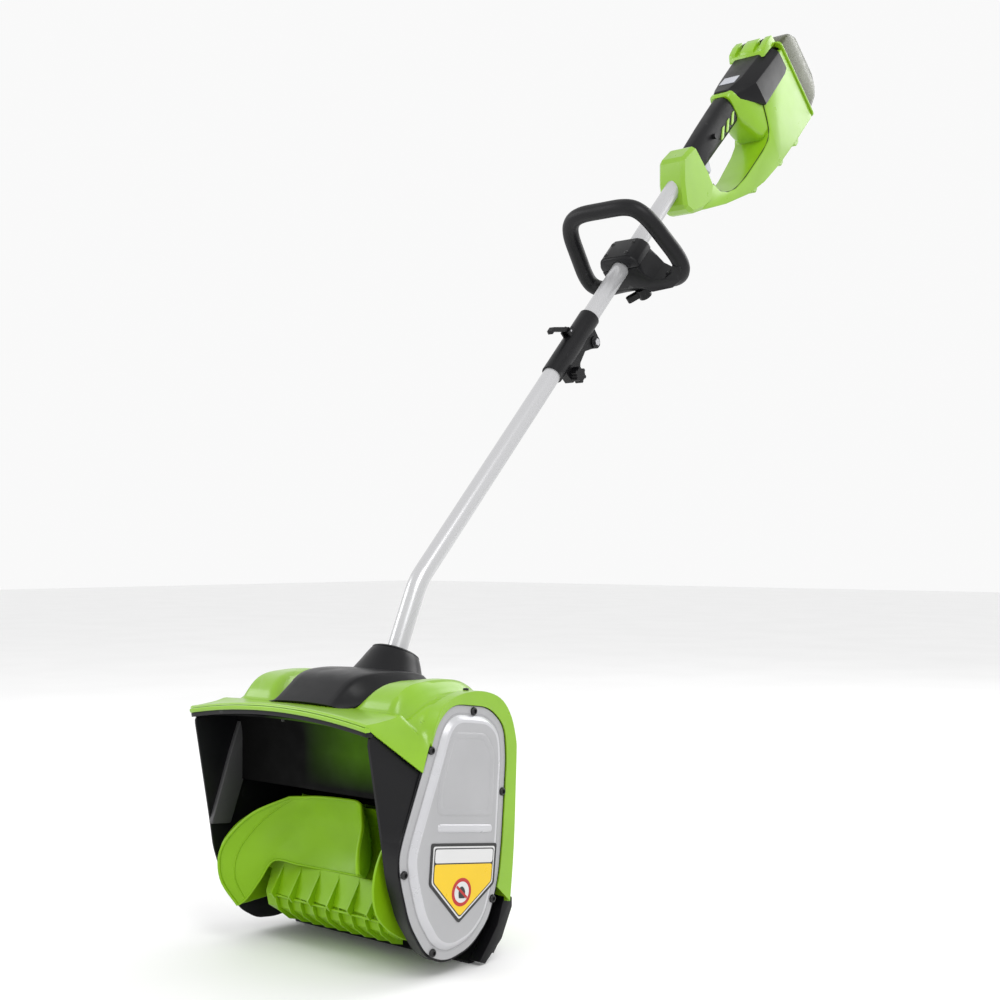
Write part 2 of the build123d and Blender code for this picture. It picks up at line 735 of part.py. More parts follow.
with BuildPart() as loop_clamp:
    with BuildSketch(across(LOOP_AT - SADDLE_LENGTH / 2)):
        with BuildLine():
            Polyline((-SADDLE_HALF, 0.2), (-SADDLE_HALF, 10), (-24, CLAMP_TOP), (24, CLAMP_TOP),
                     (SADDLE_HALF, 10), (SADDLE_HALF, 0.2), close=True)
        make_face()
        Circle(TUBE_R + FIT, mode=Mode.SUBTRACT)
    extrude(amount=SADDLE_LENGTH)
loop_clamp.part.label = "loop_clamp"
export_step(loop_clamp.part, "parts/loop_clamp.step")

CLAMP_SCREWS = [(-20, -13), (-20, 13), (20, -13), (20, 13)]
with BuildPart() as loop_clamp_screws:
    for x, along in CLAMP_SCREWS:
        with BuildSketch(Plane(origin=at_shaft(LOOP_AT + along, CLAMP_TOP, x), x_dir=(1, 0, 0),
                               z_dir=(0, -up[2], up[1]))):
            Circle(4)
        extrude(amount=2.6)
loop_clamp_screws.part.label = "loop_clamp_screws"
export_step(loop_clamp_screws.part, "parts/loop_clamp_screws.step")

WING_LOW = -66.0
wing_plane = Plane(origin=at_shaft(LOOP_AT - 4, WING_LOW), x_dir=(0.77, 0.64 * up[1], 0.64 * up[2]),
                   z_dir=(0, -up[2], up[1]))
with BuildPart() as wing_knob:
    with BuildSketch(wing_plane):
        Circle(10)
    extrude(amount=16)
    with BuildSketch(wing_plane.offset(4)):
        SlotOverall(54, 9)
    extrude(amount=9)
    with BuildSketch(wing_plane.offset(10)):
        Circle(3)
    extrude(amount=6.6)
wing_knob.part.label = "wing_knob"
export_step(wing_knob.part, "parts/wing_knob.step")

# ---------------------------------------------------------------- rear handle shells
# outlines are along and above the shaft, with the half width of each stretch
COLLAR = [(827, 33), (876, 27), (890, 21), (890, -22), (868, -52), (838, -66), (808, -54), (783, -41), (779, -19),
          (800, 10)]
GUARD = [(808, -54), (938, -128), (962, -132), (1030, -136), (1030, -86), (990, -90), (930, -93), (903, -84),
         (874, -62), (838, -20)]
GRIP_CORE = [(880, 20), (1010, 18), (1010, -19), (880, -19)]
NECK = [(994, 23), (1064, 8), (1064, -60), (1016, -58), (998, -22)]
BOX = [(1060, 8), (RIM_AT, 8), (RIM_AT, -128), (1056, -137), (960, -131), (990, -90), (1022, -64), (1060, -36)]
COLLAR_HALF = 24.0
GUARD_HALF = 22.0
CORE_HALF = 13.0
NECK_HALF = 25.0
BOX_HALF = 38.0
SHELL = 2.6
SOLID_BLOCKS = [(COLLAR, COLLAR_HALF), (GRIP_CORE, CORE_HALF)]
HOLLOW_BLOCKS = [(GUARD, GUARD_HALF), (NECK, NECK_HALF), (BOX, BOX_HALF)]
BAY_BACK = 1068.0
BAY_HALF = 34.5
BAY_TOP = 2.0
BAY_LOW = -112.0
BUMPS = [(952, -130), (1040, -136), (1098, -133)]
SWITCH_POCKET = [(892, 12), (940, 12), (940, -15), (892, -15)]
TRIGGER_SLOT = [(884, -8), (912, -8), (912, -40), (884, -40)]
BUTTON_AT = (925.0, 2.0)
HANDLE_SCREWS = [((852, -38), COLLAR_HALF), ((930, -108), GUARD_HALF), ((1010, -112), GUARD_HALF),
                 ((1040, -20), NECK_HALF), ((868, 12), COLLAR_HALF)]
LATCH_PIVOT = (1138.0, -134.5)
LATCH_HALF = 12.4
LATCH_PIN_R = 1.5
HINGE = (1156.0, 22.0)
HINGE_R = 2.0


def outline(points):
    """Draw a closed outline in the current sketch."""
    with BuildLine() as edge:
        Polyline(*points, close=True)
    make_face(edge.edges())


def handle_half(side):
    """Half of the rear handle's shell, on the side of X given by side, split on x = 0."""
    with BuildPart() as half:
        for points, width in SOLID_BLOCKS + HOLLOW_BLOCKS:
            with BuildSketch(SIDE):
                outline(points)
            extrude(amount=side * width)
        with BuildSketch(side_at(side * LATCH_HALF)):
            with Locations(LATCH_PIVOT):
                Rectangle(12, 12)
                Circle(LATCH_PIN_R, mode=Mode.SUBTRACT)
        extrude(amount=side * 4)
        for at in BUMPS:
            with BuildSketch(SIDE):
                with Locations(at):
                    Circle(9)
            extrude(amount=side * 14)
        for points, width in HOLLOW_BLOCKS:
            with BuildSketch(SIDE):
                outline(points)
                offset(amount=-SHELL, kind=Kind.INTERSECTION)
            extrude(amount=side * (width - SHELL), mode=Mode.SUBTRACT)
        with BuildSketch(across(BAY_BACK)):
            with Locations((0, (BAY_TOP + BAY_LOW) / 2)):
                Rectangle(2 * BAY_HALF, BAY_TOP - BAY_LOW)
        extrude(amount=RIM_AT - BAY_BACK + 1, mode=Mode.SUBTRACT)
        for points, width in ((SWITCH_POCKET, 9), (TRIGGER_SLOT, 6)):
            with BuildSketch(SIDE):
                outline(points)
            extrude(amount=side * width, mode=Mode.SUBTRACT)
        with BuildSketch(SIDE):
            with Locations(BUTTON_AT):
                Circle(4.5)
        extrude(amount=side * CORE_HALF, mode=Mode.SUBTRACT)
        with BuildSketch(across(COLLAR_AT - 20)):
            Circle(TUBE_R + FIT)
        extrude(amount=TUBE_END - COLLAR_AT + 22, mode=Mode.SUBTRACT)
    return half.part


with BuildPart() as handle_shell_right:
    add(handle_half(1))
handle_shell_right.part.label = "handle_shell_right"
export_step(handle_shell_right.part, "parts/handle_shell_right.step")

with BuildPart() as handle_shell_left:
    add(handle_half(-1))
handle_shell_left.part.label = "handle_shell_left"
export_step(handle_shell_left.part, "parts/handle_shell_left.step")

with BuildPart() as handle_screws:
    for at, half_width in HANDLE_SCREWS:
        with BuildSketch(side_at(half_width)):
            with Locations(at):
                Circle(3)
        extrude(amount=1.6)
handle_screws.part.label = "handle_screws"
export_step(handle_screws.part, "parts/handle_screws.step")

# ---------------------------------------------------------------- grip, trigger and switch
GRIP = [(884, 26), (996, 24.5), (1000, 10), (997, -26), (960, -29), (914, -25), (892, -25), (886, -19)]
GRIP_HALF = 18.0
with BuildPart() as grip_sleeve:
    with BuildSketch(side_at(-GRIP_HALF)):
        outline(GRIP)
    extrude(amount=2 * GRIP_HALF)
    fillet(grip_sleeve.edges().filter_by(Axis.X, reverse=True), radius=7)
    with BuildSketch(side_at(-CORE_HALF)):
        outline(GRIP_CORE)
    extrude(amount=2 * CORE_HALF, mode=Mode.SUBTRACT)
    with BuildSketch(side_at(-COLLAR_HALF)):
        outline(COLLAR)
    extrude(amount=2 * COLLAR_HALF, mode=Mode.SUBTRACT)
    with BuildSketch(side_at(-NECK_HALF)):
        outline(NECK)
    extrude(amount=2 * NECK_HALF, mode=Mode.SUBTRACT)
    with BuildSketch(side_at(-6)):
        outline(TRIGGER_SLOT)
    extrude(amount=12, mode=Mode.SUBTRACT)
    with BuildSketch(side_at(-GRIP_HALF)):
        with Locations(BUTTON_AT):
            Circle(4.5)
    extrude(amount=2 * GRIP_HALF, mode=Mode.SUBTRACT)
grip_sleeve.part.label = "grip_sleeve"
export_step(grip_sleeve.part, "parts/grip_sleeve.step")

with BuildPart() as grip_inserts:
    for x in (-GRIP_HALF - 0.6, GRIP_HALF + 0.05):
        with BuildSketch(side_at(x)):
            for along in (934, 954, 974):
                with Locations((along, -12)):
                    SlotOverall(17, 6, rotation=64)
        extrude(amount=0.55)
grip_inserts.part.label = "grip_inserts"
export_step(grip_inserts.part, "parts/grip_inserts.step")

TRIGGER_PIVOT = (889.5, -12.0)
with BuildPart() as trigger:
    with BuildSketch(side_at(-5)):
        with BuildLine():
            Polyline((886, -9), (905, -10), (906, -18), (902, -28), (897, -40), (891, -41), (886, -30), close=True)
        make_face()
    extrude(amount=10)
    fillet(trigger.edges().filter_by(Axis.X, reverse=True), radius=1.5)
    with BuildSketch(side_at(-5)):
        with Locations(TRIGGER_PIVOT):
            Circle(1.5 + FIT)
    extrude(amount=10, mode=Mode.SUBTRACT)
trigger.part.label = "trigger"
export_step(trigger.part, "parts/trigger.step")

with BuildPart() as trigger_pin:
    with BuildSketch(side_at(-6)):
        with Locations(TRIGGER_PIVOT):
            Circle(1.5)
    extrude(amount=12)
trigger_pin.part.label = "trigger_pin"
export_step(trigger_pin.part, "parts/trigger_pin.step")

with BuildPart() as trigger_switch:
    with BuildSketch(side_at(-8)):
        outline([(912.5, 11), (939, 11), (939, -14), (912.5, -14)])
    extrude(amount=12.4)
trigger_switch.part.label = "trigger_switch"
export_step(trigger_switch.part, "parts/trigger_switch.step")

BUTTON_IN = 8.6
BUTTON_OUT = GRIP_HALF + 4
with BuildPart() as lock_button:
    with BuildSketch(side_at(BUTTON_IN)):
        with Locations(BUTTON_AT):
            Circle(4.2)
    extrude(amount=BUTTON_OUT - BUTTON_IN)
lock_button.part.label = "lock_button"
export_step(lock_button.part, "parts/lock_button.step")

with BuildPart() as control_board:
    with BuildSketch(side_at(-16)):
        outline([(1012, -28), (1054, -36), (1054, -38), (1012, -30)])
    extrude(amount=32)
control_board.part.label = "control_board"
export_step(control_board.part, "parts/control_board.step")

# ---------------------------------------------------------------- battery housing's cover, rim, pack and door
COVER_SIDE = [(1002, 27), (1066, 18), (1150, 17), (1150, -32), (1062, -36), (1020, 8)]
with BuildPart() as top_cover:
    with BuildSketch(side_at(-BOX_HALF - 2.4)):
        outline(COVER_SIDE)
    extrude(amount=2 * BOX_HALF + 4.8)
    for points, width in HOLLOW_BLOCKS:
        with BuildSketch(side_at(-width)):
            outline(points)
        extrude(amount=2 * width, mode=Mode.SUBTRACT)
    with BuildSketch(across(1000)):
        with Locations((0, -28)):
            Rectangle(2 * BOX_HALF, 72)
    extrude(amount=160, mode=Mode.SUBTRACT)
top_cover.part.label = "top_cover"
export_step(top_cover.part, "parts/top_cover.step")

RIM_DEPTH = 4.0
with BuildPart() as battery_rim:
    with BuildSketch(across(RIM_AT)):
        with Locations((0, -59)):
            RectangleRounded(82, 144, 8)
            RectangleRounded(2 * BAY_HALF, 118, 4, mode=Mode.SUBTRACT)
    extrude(amount=RIM_DEPTH)
    for x in (-30, 21.5):
        with BuildSketch(side_at(x)):
            with BuildLine():
                Polyline((1128, 17.4), (1152, 27), (1160, 27), (1164, 20), (1164, 12), (1160, 12), (1160, 17.4),
                         close=True)
            make_face()
            with Locations(HINGE):
                Circle(HINGE_R, mode=Mode.SUBTRACT)
        extrude(amount=8.5)
battery_rim.part.label = "battery_rim"
export_step(battery_rim.part, "parts/battery_rim.step")

with BuildPart() as door_pin:
    with BuildSketch(side_at(-31)):
        with Locations(HINGE):
            Circle(HINGE_R)
    extrude(amount=62)
door_pin.part.label = "door_pin"
export_step(door_pin.part, "parts/door_pin.step")

DOOR = [(RIM_AT + RIM_DEPTH + 0.4, 8), (1200, 2), (1218, -12), (1231, -42), (1224, -90), (1202, -117),
        (RIM_AT + RIM_DEPTH + 0.4, -126)]
DOOR_HALF = 37.0
DOOR_WALL = 2.4
with BuildPart() as battery_door:
    with BuildSketch(side_at(-DOOR_HALF)):
        outline(DOOR)
    extrude(amount=2 * DOOR_HALF)
    fillet(battery_door.faces().filter_by(Axis.X).edges().filter_by(lambda edge: edge.length > 1), radius=4)
    with BuildSketch(side_at(-DOOR_HALF + DOOR_WALL)):
        outline(DOOR)
        offset(amount=-DOOR_WALL, kind=Kind.INTERSECTION)
    extrude(amount=2 * (DOOR_HALF - DOOR_WALL), mode=Mode.SUBTRACT)
    with BuildSketch(across(RIM_AT)):
        with Locations((0, -59)):
            Rectangle(2 * (DOOR_HALF - DOOR_WALL), 126)
    extrude(amount=RIM_DEPTH + 4, mode=Mode.SUBTRACT)
    for x in (-21, 13):
        with BuildSketch(side_at(x)):
            outline([(1156, 27), (1176, 14), (1182, 3), (1168, 2), (1165, 14.5), (1157, 17)])
            with Locations(HINGE):
                Circle(5)
                Circle(HINGE_R + FIT, mode=Mode.SUBTRACT)
        extrude(amount=8)
battery_door.part.label = "battery_door"
export_step(battery_door.part, "parts/battery_door.step")

with BuildPart() as battery_pack:
    with BuildSketch(across(1072)):
        with Locations((0, -55)):
            RectangleRounded(64, 104, 6)
    extrude(amount=128)
    chamfer(battery_pack.faces().sort_by(Axis.Y)[-1].edges(), length=4)
    with BuildSketch(side_at(-20)):
        with Locations((1202, -55)):
            Rectangle(8, 60)
    extrude(amount=40, mode=Mode.SUBTRACT)
battery_pack.part.label = "battery_pack"
export_step(battery_pack.part, "parts/battery_pack.step")

TRAY_AT = 1063.0
TRAY_DEPTH = 4.6
with BuildPart() as battery_tray:
    with BuildSketch(across(TRAY_AT)):
        with Locations((0, -58)):
            Rectangle(70, 116)
    extrude(amount=TRAY_DEPTH)
battery_tray.part.label = "battery_tray"
export_step(battery_tray.part, "parts/battery_tray.step")

with BuildPart() as battery_terminals:
    with BuildSketch(across(TRAY_AT + TRAY_DEPTH)):
        with GridLocations(14, 18, 3, 2):
            with Locations((0, -40)):
                Rectangle(1.2, 10)
    extrude(amount=4)
battery_terminals.part.label = "battery_terminals"
export_step(battery_terminals.part, "parts/battery_terminals.step")

with BuildPart() as door_latch:
    with BuildSketch(side_at(-LATCH_HALF + 0.4)):
        outline([(1122, -136), (1138, -132.2), (1172, -132.2), (1172, -128.5), (1176, -128.5), (1177, -136.5),
                 (1138, -138), (1122, -139)])
        with Locations(LATCH_PIVOT):
            Circle(LATCH_PIN_R + FIT, mode=Mode.SUBTRACT)
    extrude(amount=2 * LATCH_HALF - 0.8)
door_latch.part.label = "door_latch"
export_step(door_latch.part, "parts/door_latch.step")

with BuildPart() as latch_pin:
    with BuildSketch(side_at(-LATCH_HALF - 4)):
        with Locations(LATCH_PIVOT):
            Circle(LATCH_PIN_R)
    extrude(amount=2 * LATCH_HALF + 8)
latch_pin.part.label = "latch_pin"
export_step(latch_pin.part, "parts/latch_pin.step")

with BuildPart() as trigger_spring:
    with BuildSketch(Plane(origin=at_shaft(899, -9.2), x_dir=(1, 0, 0), z_dir=(0, -up[2], up[1]))):
        Circle(2.4)
        Circle(1.6, mode=Mode.SUBTRACT)
    extrude(amount=14)
trigger_spring.part.label = "trigger_spring"
export_step(trigger_spring.part, "parts/trigger_spring.step")

# ---------------------------------------------------------------- power cable and hood screws
CABLE_R = 3.5
with BuildPart() as power_cable:
    with BuildLine():
        FilletPolyline(on_stub(STUB_LENGTH - 2).origin, (0, *BEND), at_shaft(TUBE_END - 6), radius=BEND_R)
    with BuildSketch(on_stub(STUB_LENGTH - 2)):
        Circle(CABLE_R)
    sweep()
power_cable.part.label = "power_cable"
export_step(power_cable.part, "parts/power_cable.step")

with BuildPart() as hood_screws:
    for x in (-128, -16, 128):
        with Locations(Plane(origin=(x, -141.5, 266.4), z_dir=(0, -0.196, -0.98))):
            Cylinder(3, 1.8, align=(Align.CENTER, Align.CENTER, Align.MIN))
    with Locations((161, -36, HOOD_OUTER[3][1])):
        Cylinder(3.4, 2, align=(Align.CENTER, Align.CENTER, Align.MIN))
hood_screws.part.label = "hood_screws"
export_step(hood_screws.part, "parts/hood_screws.step")
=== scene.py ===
import json
import math
import bmesh
import bpy
from mathutils import Matrix, Vector


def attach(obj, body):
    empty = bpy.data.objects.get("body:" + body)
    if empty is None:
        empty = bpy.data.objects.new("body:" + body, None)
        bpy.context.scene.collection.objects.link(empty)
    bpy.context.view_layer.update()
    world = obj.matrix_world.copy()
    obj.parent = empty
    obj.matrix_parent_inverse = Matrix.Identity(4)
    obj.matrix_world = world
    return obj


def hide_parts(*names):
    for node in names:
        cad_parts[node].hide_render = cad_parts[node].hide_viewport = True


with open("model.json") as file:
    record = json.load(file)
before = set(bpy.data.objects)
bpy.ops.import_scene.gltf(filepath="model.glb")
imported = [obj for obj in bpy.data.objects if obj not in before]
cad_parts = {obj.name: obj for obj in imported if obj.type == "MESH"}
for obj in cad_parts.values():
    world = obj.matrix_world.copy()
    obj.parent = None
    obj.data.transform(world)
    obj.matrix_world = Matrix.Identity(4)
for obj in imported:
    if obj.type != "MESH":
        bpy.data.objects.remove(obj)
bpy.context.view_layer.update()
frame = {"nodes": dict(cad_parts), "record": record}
MM = 0.001

# Lengths below are in millimetres in the part's frame, and become metres in the mesh helpers. X runs across
# the mouth, Y away from it, Z up. Shaft pieces use distances along and above the shaft instead of Y and Z.

SHAFT_ANGLE = math.radians(47.0)
STUB_ANGLE = math.radians(66.5)
BEND = (63.0, 430.0)
ROTOR_AXIS = (-59.0, 99.0)


def flat(y, z, x):
    """Place a side view point given in y and z."""
    return Vector((x, y, z)) * MM


def on_shaft(along, above, x):
    """Place a side view point given along and above the shaft."""
    c, s = math.cos(SHAFT_ANGLE), math.sin(SHAFT_ANGLE)
    return Vector((x, BEND[0] + along * c - above * s, BEND[1] + along * s + above * c)) * MM


def on_stub(below, right, behind):
    """Place a point on the lower stub, by its distance below the bend and its two offsets from the stub."""
    c, s = math.cos(STUB_ANGLE), math.sin(STUB_ANGLE)
    return Vector((right, BEND[0] - below * c + behind * s, BEND[1] - below * s - behind * c)) * MM


def mix(a, b, t):
    return a + (b - a) * t


# ---------------------------------------------------------------- materials
def new_material(name):
    """Return an empty node material with its principled shader."""
    material = bpy.data.materials.new(name)
    material.use_nodes = True
    return material, material.node_tree.nodes["Principled BSDF"]


def noise(tree, scale, detail=3.0, stretch=None, turn=None):
    """Add a noise texture in object space, optionally stretched along turned axes."""
    coordinates = tree.nodes.new("ShaderNodeTexCoord")
    texture = tree.nodes.new("ShaderNodeTexNoise")
    texture.inputs["Scale"].default_value = scale
    texture.inputs["Detail"].default_value = detail
    source = coordinates.outputs["Object"]
    if stretch:
        mapping = tree.nodes.new("ShaderNodeMapping")
        mapping.vector_type = "TEXTURE"
        mapping.inputs["Rotation"].default_value = turn or (0, 0, 0)
        mapping.inputs["Scale"].default_value = stretch
        tree.links.new(source, mapping.inputs["Vector"])
        source = mapping.outputs["Vector"]
    tree.links.new(source, texture.inputs["Vector"])
    return texture


def ramp(tree, source, low, high, start=0.35, end=0.65):
    """Turn a noise value into a colour between two colours."""
    node = tree.nodes.new("ShaderNodeValToRGB")
    node.color_ramp.elements[0].position = start
    node.color_ramp.elements[0].color = (*low, 1)
    node.color_ramp.elements[1].position = end
    node.color_ramp.elements[1].color = (*high, 1)
    tree.links.new(source, node.inputs["Fac"])
    return node


def spread(tree, source, low, high):
    """Turn a noise value into a number between low and high."""
    node = tree.nodes.new("ShaderNodeMapRange")
    node.inputs["From Min"].default_value = 0.3
    node.inputs["From Max"].default_value = 0.7
    node.inputs["To Min"].default_value = low
    node.inputs["To Max"].default_value = high
    tree.links.new(source, node.inputs["Value"])
    return node


def finish(name, colour, roughness, metallic=0.0, grain=900.0, depth=0.00004, variation=0.06, coat=0.0,
           stretch=None, turn=None, specular=0.5):
    """A moulded, painted or metal surface: mottled colour, uneven gloss, fine grain and faint scuffs."""
    material, shader = new_material(name)
    tree = material.node_tree
    low = tuple(c * (1 - variation) for c in colour)
    high = tuple(min(1, c * (1 + variation)) for c in colour)
    cloud = noise(tree, 14.0, 4.0, stretch, turn)
    body = ramp(tree, cloud.outputs["Fac"], low, high)
    scuff = noise(tree, 60.0, 8.0, (1.0, 6.0, 1.6), (0.5, 0.3, 0.9))
    worn = ramp(tree, scuff.outputs["Fac"], (0, 0, 0), (1, 1, 1), 0.68, 0.74)
    blend = tree.nodes.new("ShaderNodeMixRGB")
    blend.blend_type = "MIX"
    blend.inputs["Color2"].default_value = (*[min(1, c * 0.9 + 0.035) for c in colour], 1)
    tree.links.new(worn.outputs["Color"], blend.inputs["Fac"])
    tree.links.new(body.outputs["Color"], blend.inputs["Color1"])
    tree.links.new(blend.outputs["Color"], shader.inputs["Base Color"])
    uneven = noise(tree, 40.0, 5.0, stretch, turn)
    gloss = spread(tree, uneven.outputs["Fac"], roughness * 0.85, min(1.0, roughness * 1.18))
    tree.links.new(gloss.outputs["Result"], shader.inputs["Roughness"])
    fine = noise(tree, grain, 2.0, stretch, turn)
    bump = tree.nodes.new("ShaderNodeBump")
    bump.inputs["Strength"].default_value = 0.5
    bump.inputs["Distance"].default_value = depth
    tree.links.new(fine.outputs["Fac"], bump.inputs["Height"])
    tree.links.new(bump.outputs["Normal"], shader.inputs["Normal"])
    shader.inputs["Metallic"].default_value = metallic
    shader.inputs["Coat Weight"].default_value = coat
    shader.inputs["Coat Roughness"].default_value = 0.12
    shader.inputs["Specular IOR Level"].default_value = specular
    return material


ALONG_SHAFT = {"stretch": (1.0, 40.0, 1.0), "turn": (SHAFT_ANGLE, 0, 0)}
LOOKS = {
    "green_plastic": finish("green_plastic", (0.205, 0.405, 0.007), 0.32, coat=0.25),
    "green_insert": finish("green_insert", (0.34, 0.56, 0.10), 0.40),
    "black_plastic": finish("black_plastic", (0.005, 0.005, 0.006), 0.36, grain=1400, depth=0.00006,
                            specular=0.22),
    "battery_black": finish("battery_black", (0.006, 0.006, 0.007), 0.45, grain=1400, depth=0.00006,
                            specular=0.25),
    "soft_grip": finish("soft_grip", (0.005, 0.005, 0.006), 0.42, grain=1800, depth=0.00008, specular=0.24),
    "silver_cover": finish("silver_cover", (0.37, 0.37, 0.38), 0.36, 0.15, grain=1600, variation=0.03),
    "label": finish("label", (0.74, 0.49, 0.003), 0.30, variation=0.03),
    "black_screw": finish("black_screw", (0.012, 0.012, 0.013), 0.30, 0.3),
    "shaft_aluminium": finish("shaft_aluminium", (0.50, 0.50, 0.51), 0.26, 0.45, grain=700, variation=0.04,
                              **ALONG_SHAFT),
    "steel": finish("steel", (0.55, 0.55, 0.57), 0.32, 1.0, grain=700, stretch=(1.0, 1.0, 18.0)),
    "motor_steel": finish("motor_steel", (0.25, 0.25, 0.27), 0.42, 0.6),
    "pulley_metal": finish("pulley_metal", (0.62, 0.62, 0.64), 0.35, 1.0),
    "belt_rubber": finish("belt_rubber", (0.02, 0.02, 0.02), 0.75),
    "cable_rubber": finish("cable_rubber", (0.02, 0.02, 0.02), 0.65),
    "grey_trigger": finish("grey_trigger", (0.44, 0.45, 0.50), 0.35),
    "circuit_board": finish("circuit_board", (0.02, 0.13, 0.04), 0.45),
    "contact_brass": finish("contact_brass", (0.75, 0.52, 0.20), 0.3, 1.0),
    "grey_rib": finish("grey_rib", (0.06, 0.06, 0.062), 0.45, grain=1400, depth=0.00006),
    # brighter copy of the cover's silver: painted highlight on the border and the ridge
    "cover_painted_highlight": finish("cover_painted_highlight", (0.50, 0.50, 0.52), 0.30, 0.2, grain=1600, variation=0.03),
    # the hood's green plastic darkened a little as painted shade for the rotor scoops
    "rotor_green_painted_shade": finish("rotor_green_painted_shade", (0.185, 0.375, 0.002), 0.42, specular=0.3),
    "label_black": finish("label_black", (0.012, 0.012, 0.013), 0.35),
    "label_white": finish("label_white", (0.60, 0.60, 0.60), 0.35, variation=0.02),
    "label_red": finish("label_red", (0.42, 0.012, 0.01), 0.35),
}


def smoke_plastic():
    """Clear plastic with a smoky olive tint for the battery door."""
    material, shader = new_material("smoke_door")
    tree = material.node_tree
    cloud = noise(tree, 30.0)
    tint = ramp(tree, cloud.outputs["Fac"], (0.060, 0.068, 0.030), (0.08, 0.09, 0.042))
    tree.links.new(tint.outputs["Color"], shader.inputs["Base Color"])
    wipe = noise(tree, 90.0, 6.0)
    gloss = spread(tree, wipe.outputs["Fac"], 0.22, 0.34)
    tree.links.new(gloss.outputs["Result"], shader.inputs["Roughness"])
    shader.inputs["Alpha"].default_value = 0.80
    shader.inputs["Specular IOR Level"].default_value = 0.15
    return material


LOOKS["smoke_door"] = smoke_plastic()


def roof_painted_shade():
    """Painted shade: near black giving way to dark green towards the belt side and the top, for the green
    hood's underside in shadow.
    """
    material = finish("roof_painted_shade", (0.01, 0.01, 0.01), 0.7, specular=0.08)
    tree = material.node_tree
    shader = tree.nodes["Principled BSDF"]
    place = tree.nodes.new("ShaderNodeTexCoord")
    split = tree.nodes.new("ShaderNodeSeparateXYZ")
    tree.links.new(place.outputs["Object"], split.inputs["Vector"])
    across = tree.nodes.new("ShaderNodeMapRange")
    across.inputs["From Min"].default_value = -0.03
    across.inputs["From Max"].default_value = 0.06
    tree.links.new(split.outputs["X"], across.inputs["Value"])
    upwards = tree.nodes.new("ShaderNodeMapRange")
    upwards.inputs["From Min"].default_value = 0.195
    upwards.inputs["From Max"].default_value = 0.235
    tree.links.new(split.outputs["Z"], upwards.inputs["Value"])
    share = tree.nodes.new("ShaderNodeMath")
    share.operation = "MULTIPLY"
    tree.links.new(across.outputs["Result"], share.inputs[0])
    tree.links.new(upwards.outputs["Result"], share.inputs[1])
    # painted shade: near black low and to the left, dark green high on the right where the unlit hood
    # underside shows
    tone = ramp(tree, share.outputs["Value"], (0.002, 0.002, 0.002), (0.05, 0.13, 0.004), 0.0, 1.0)
    cloud = noise(tree, 22.0)
    shade = ramp(tree, cloud.outputs["Fac"], (0.8, 0.8, 0.8), (1, 1, 1))
    both = tree.nodes.new("ShaderNodeMixRGB")
    both.blend_type = "MULTIPLY"
    both.inputs["Fac"].default_value = 1.0
    tree.links.new(tone.outputs["Color"], both.inputs["Color1"])
    tree.links.new(shade.outputs["Color"], both.inputs["Color2"])
    tree.links.new(both.outputs["Color"], shader.inputs["Base Color"])
    return material


LOOKS["roof_painted_shade"] = roof_painted_shade()

for subpart in frame["record"]["subparts"]:
    node = frame["nodes"][subpart["node"]]
    look = LOOKS[subpart["material_slot"]]
    node.data.materials.clear()
    node.data.materials.append(look)


# ---------------------------------------------------------------- mesh helpers
def piece(name, vertices, faces, body, look, replaced=(), sharp=32.0, bevel=0.0, segments=2):
    """Make one finished piece that rides on a body, with its edges eased and its sharp folds kept."""
    mesh = bpy.data.meshes.new(name)
    mesh.from_pydata([tuple(v) for v in vertices], [], faces)
    build = bmesh.new()
    build.from_mesh(mesh)
    bmesh.ops.remove_doubles(build, verts=build.verts, dist=1e-6)
    bmesh.ops.recalc_face_normals(build, faces=build.faces)
    build.to_mesh(mesh)
    build.free()
    obj = bpy.data.objects.new(name, mesh)
    bpy.context.scene.collection.objects.link(obj)
    if bevel:
        ease = obj.modifiers.new("ease", "BEVEL")
        ease.width = bevel * MM
        ease.segments = segments
        ease.limit_method = "ANGLE"
        ease.angle_limit = math.radians(20)
        apply_modifiers(obj)
    obj.data.materials.clear()
    obj.data.materials.append(LOOKS[look])
    smooth(obj, sharp)
    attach(obj, body)
    if replaced:
        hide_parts(*replaced)
    return obj


def apply_modifiers(obj):
    """Bake an object's modifiers into its mesh."""
    bpy.context.view_layer.update()
    shaped = bpy.data.meshes.new_from_object(obj.evaluated_get(bpy.context.evaluated_depsgraph_get()))
    obj.modifiers.clear()
    obj.data = shaped


def smooth(obj, angle):
    """Shade smooth, and keep folds sharper than the angle."""
    build = bmesh.new()
    build.from_mesh(obj.data)
    for face in build.faces:
        face.smooth = True
    for edge in build.edges:
        edge.smooth = edge.calc_face_angle(math.pi) < math.radians(angle)
    build.to_mesh(obj.data)
    build.free()


def prism(outline, low, high, place):
    """Vertices and faces of an outline stretched across x.

    low and high may each be a function of the outline's two axes.
    """
    count = len(outline)
    low_x = low if callable(low) else (lambda a, b: low)
    high_x = high if callable(high) else (lambda a, b: high)
    vertices = [place(a, b, low_x(a, b)) for a, b in outline]
    vertices += [place(a, b, high_x(a, b)) for a, b in outline]
    sides = [(i, (i + 1) % count, count + (i + 1) % count, count + i) for i in range(count)]
    return vertices, sides + [tuple(range(count))[::-1], tuple(range(count, 2 * count))]


def loft(rings, closed=True, caps=True):
    """Vertices and faces through rings of equal count. Open rings make a sheet."""
    count = len(rings[0])
    vertices = [v for ring in rings for v in ring]
    span = count if closed else count - 1
    faces = []
    for r in range(len(rings) - 1):
        for i in range(span):
            j = (i + 1) % count
            faces.append((r * count + i, r * count + j, (r + 1) * count + j, (r + 1) * count + i))
    if caps:
        faces.append(tuple(range(count))[::-1])
        faces.append(tuple(range((len(rings) - 1) * count, len(rings) * count)))
    return vertices, faces


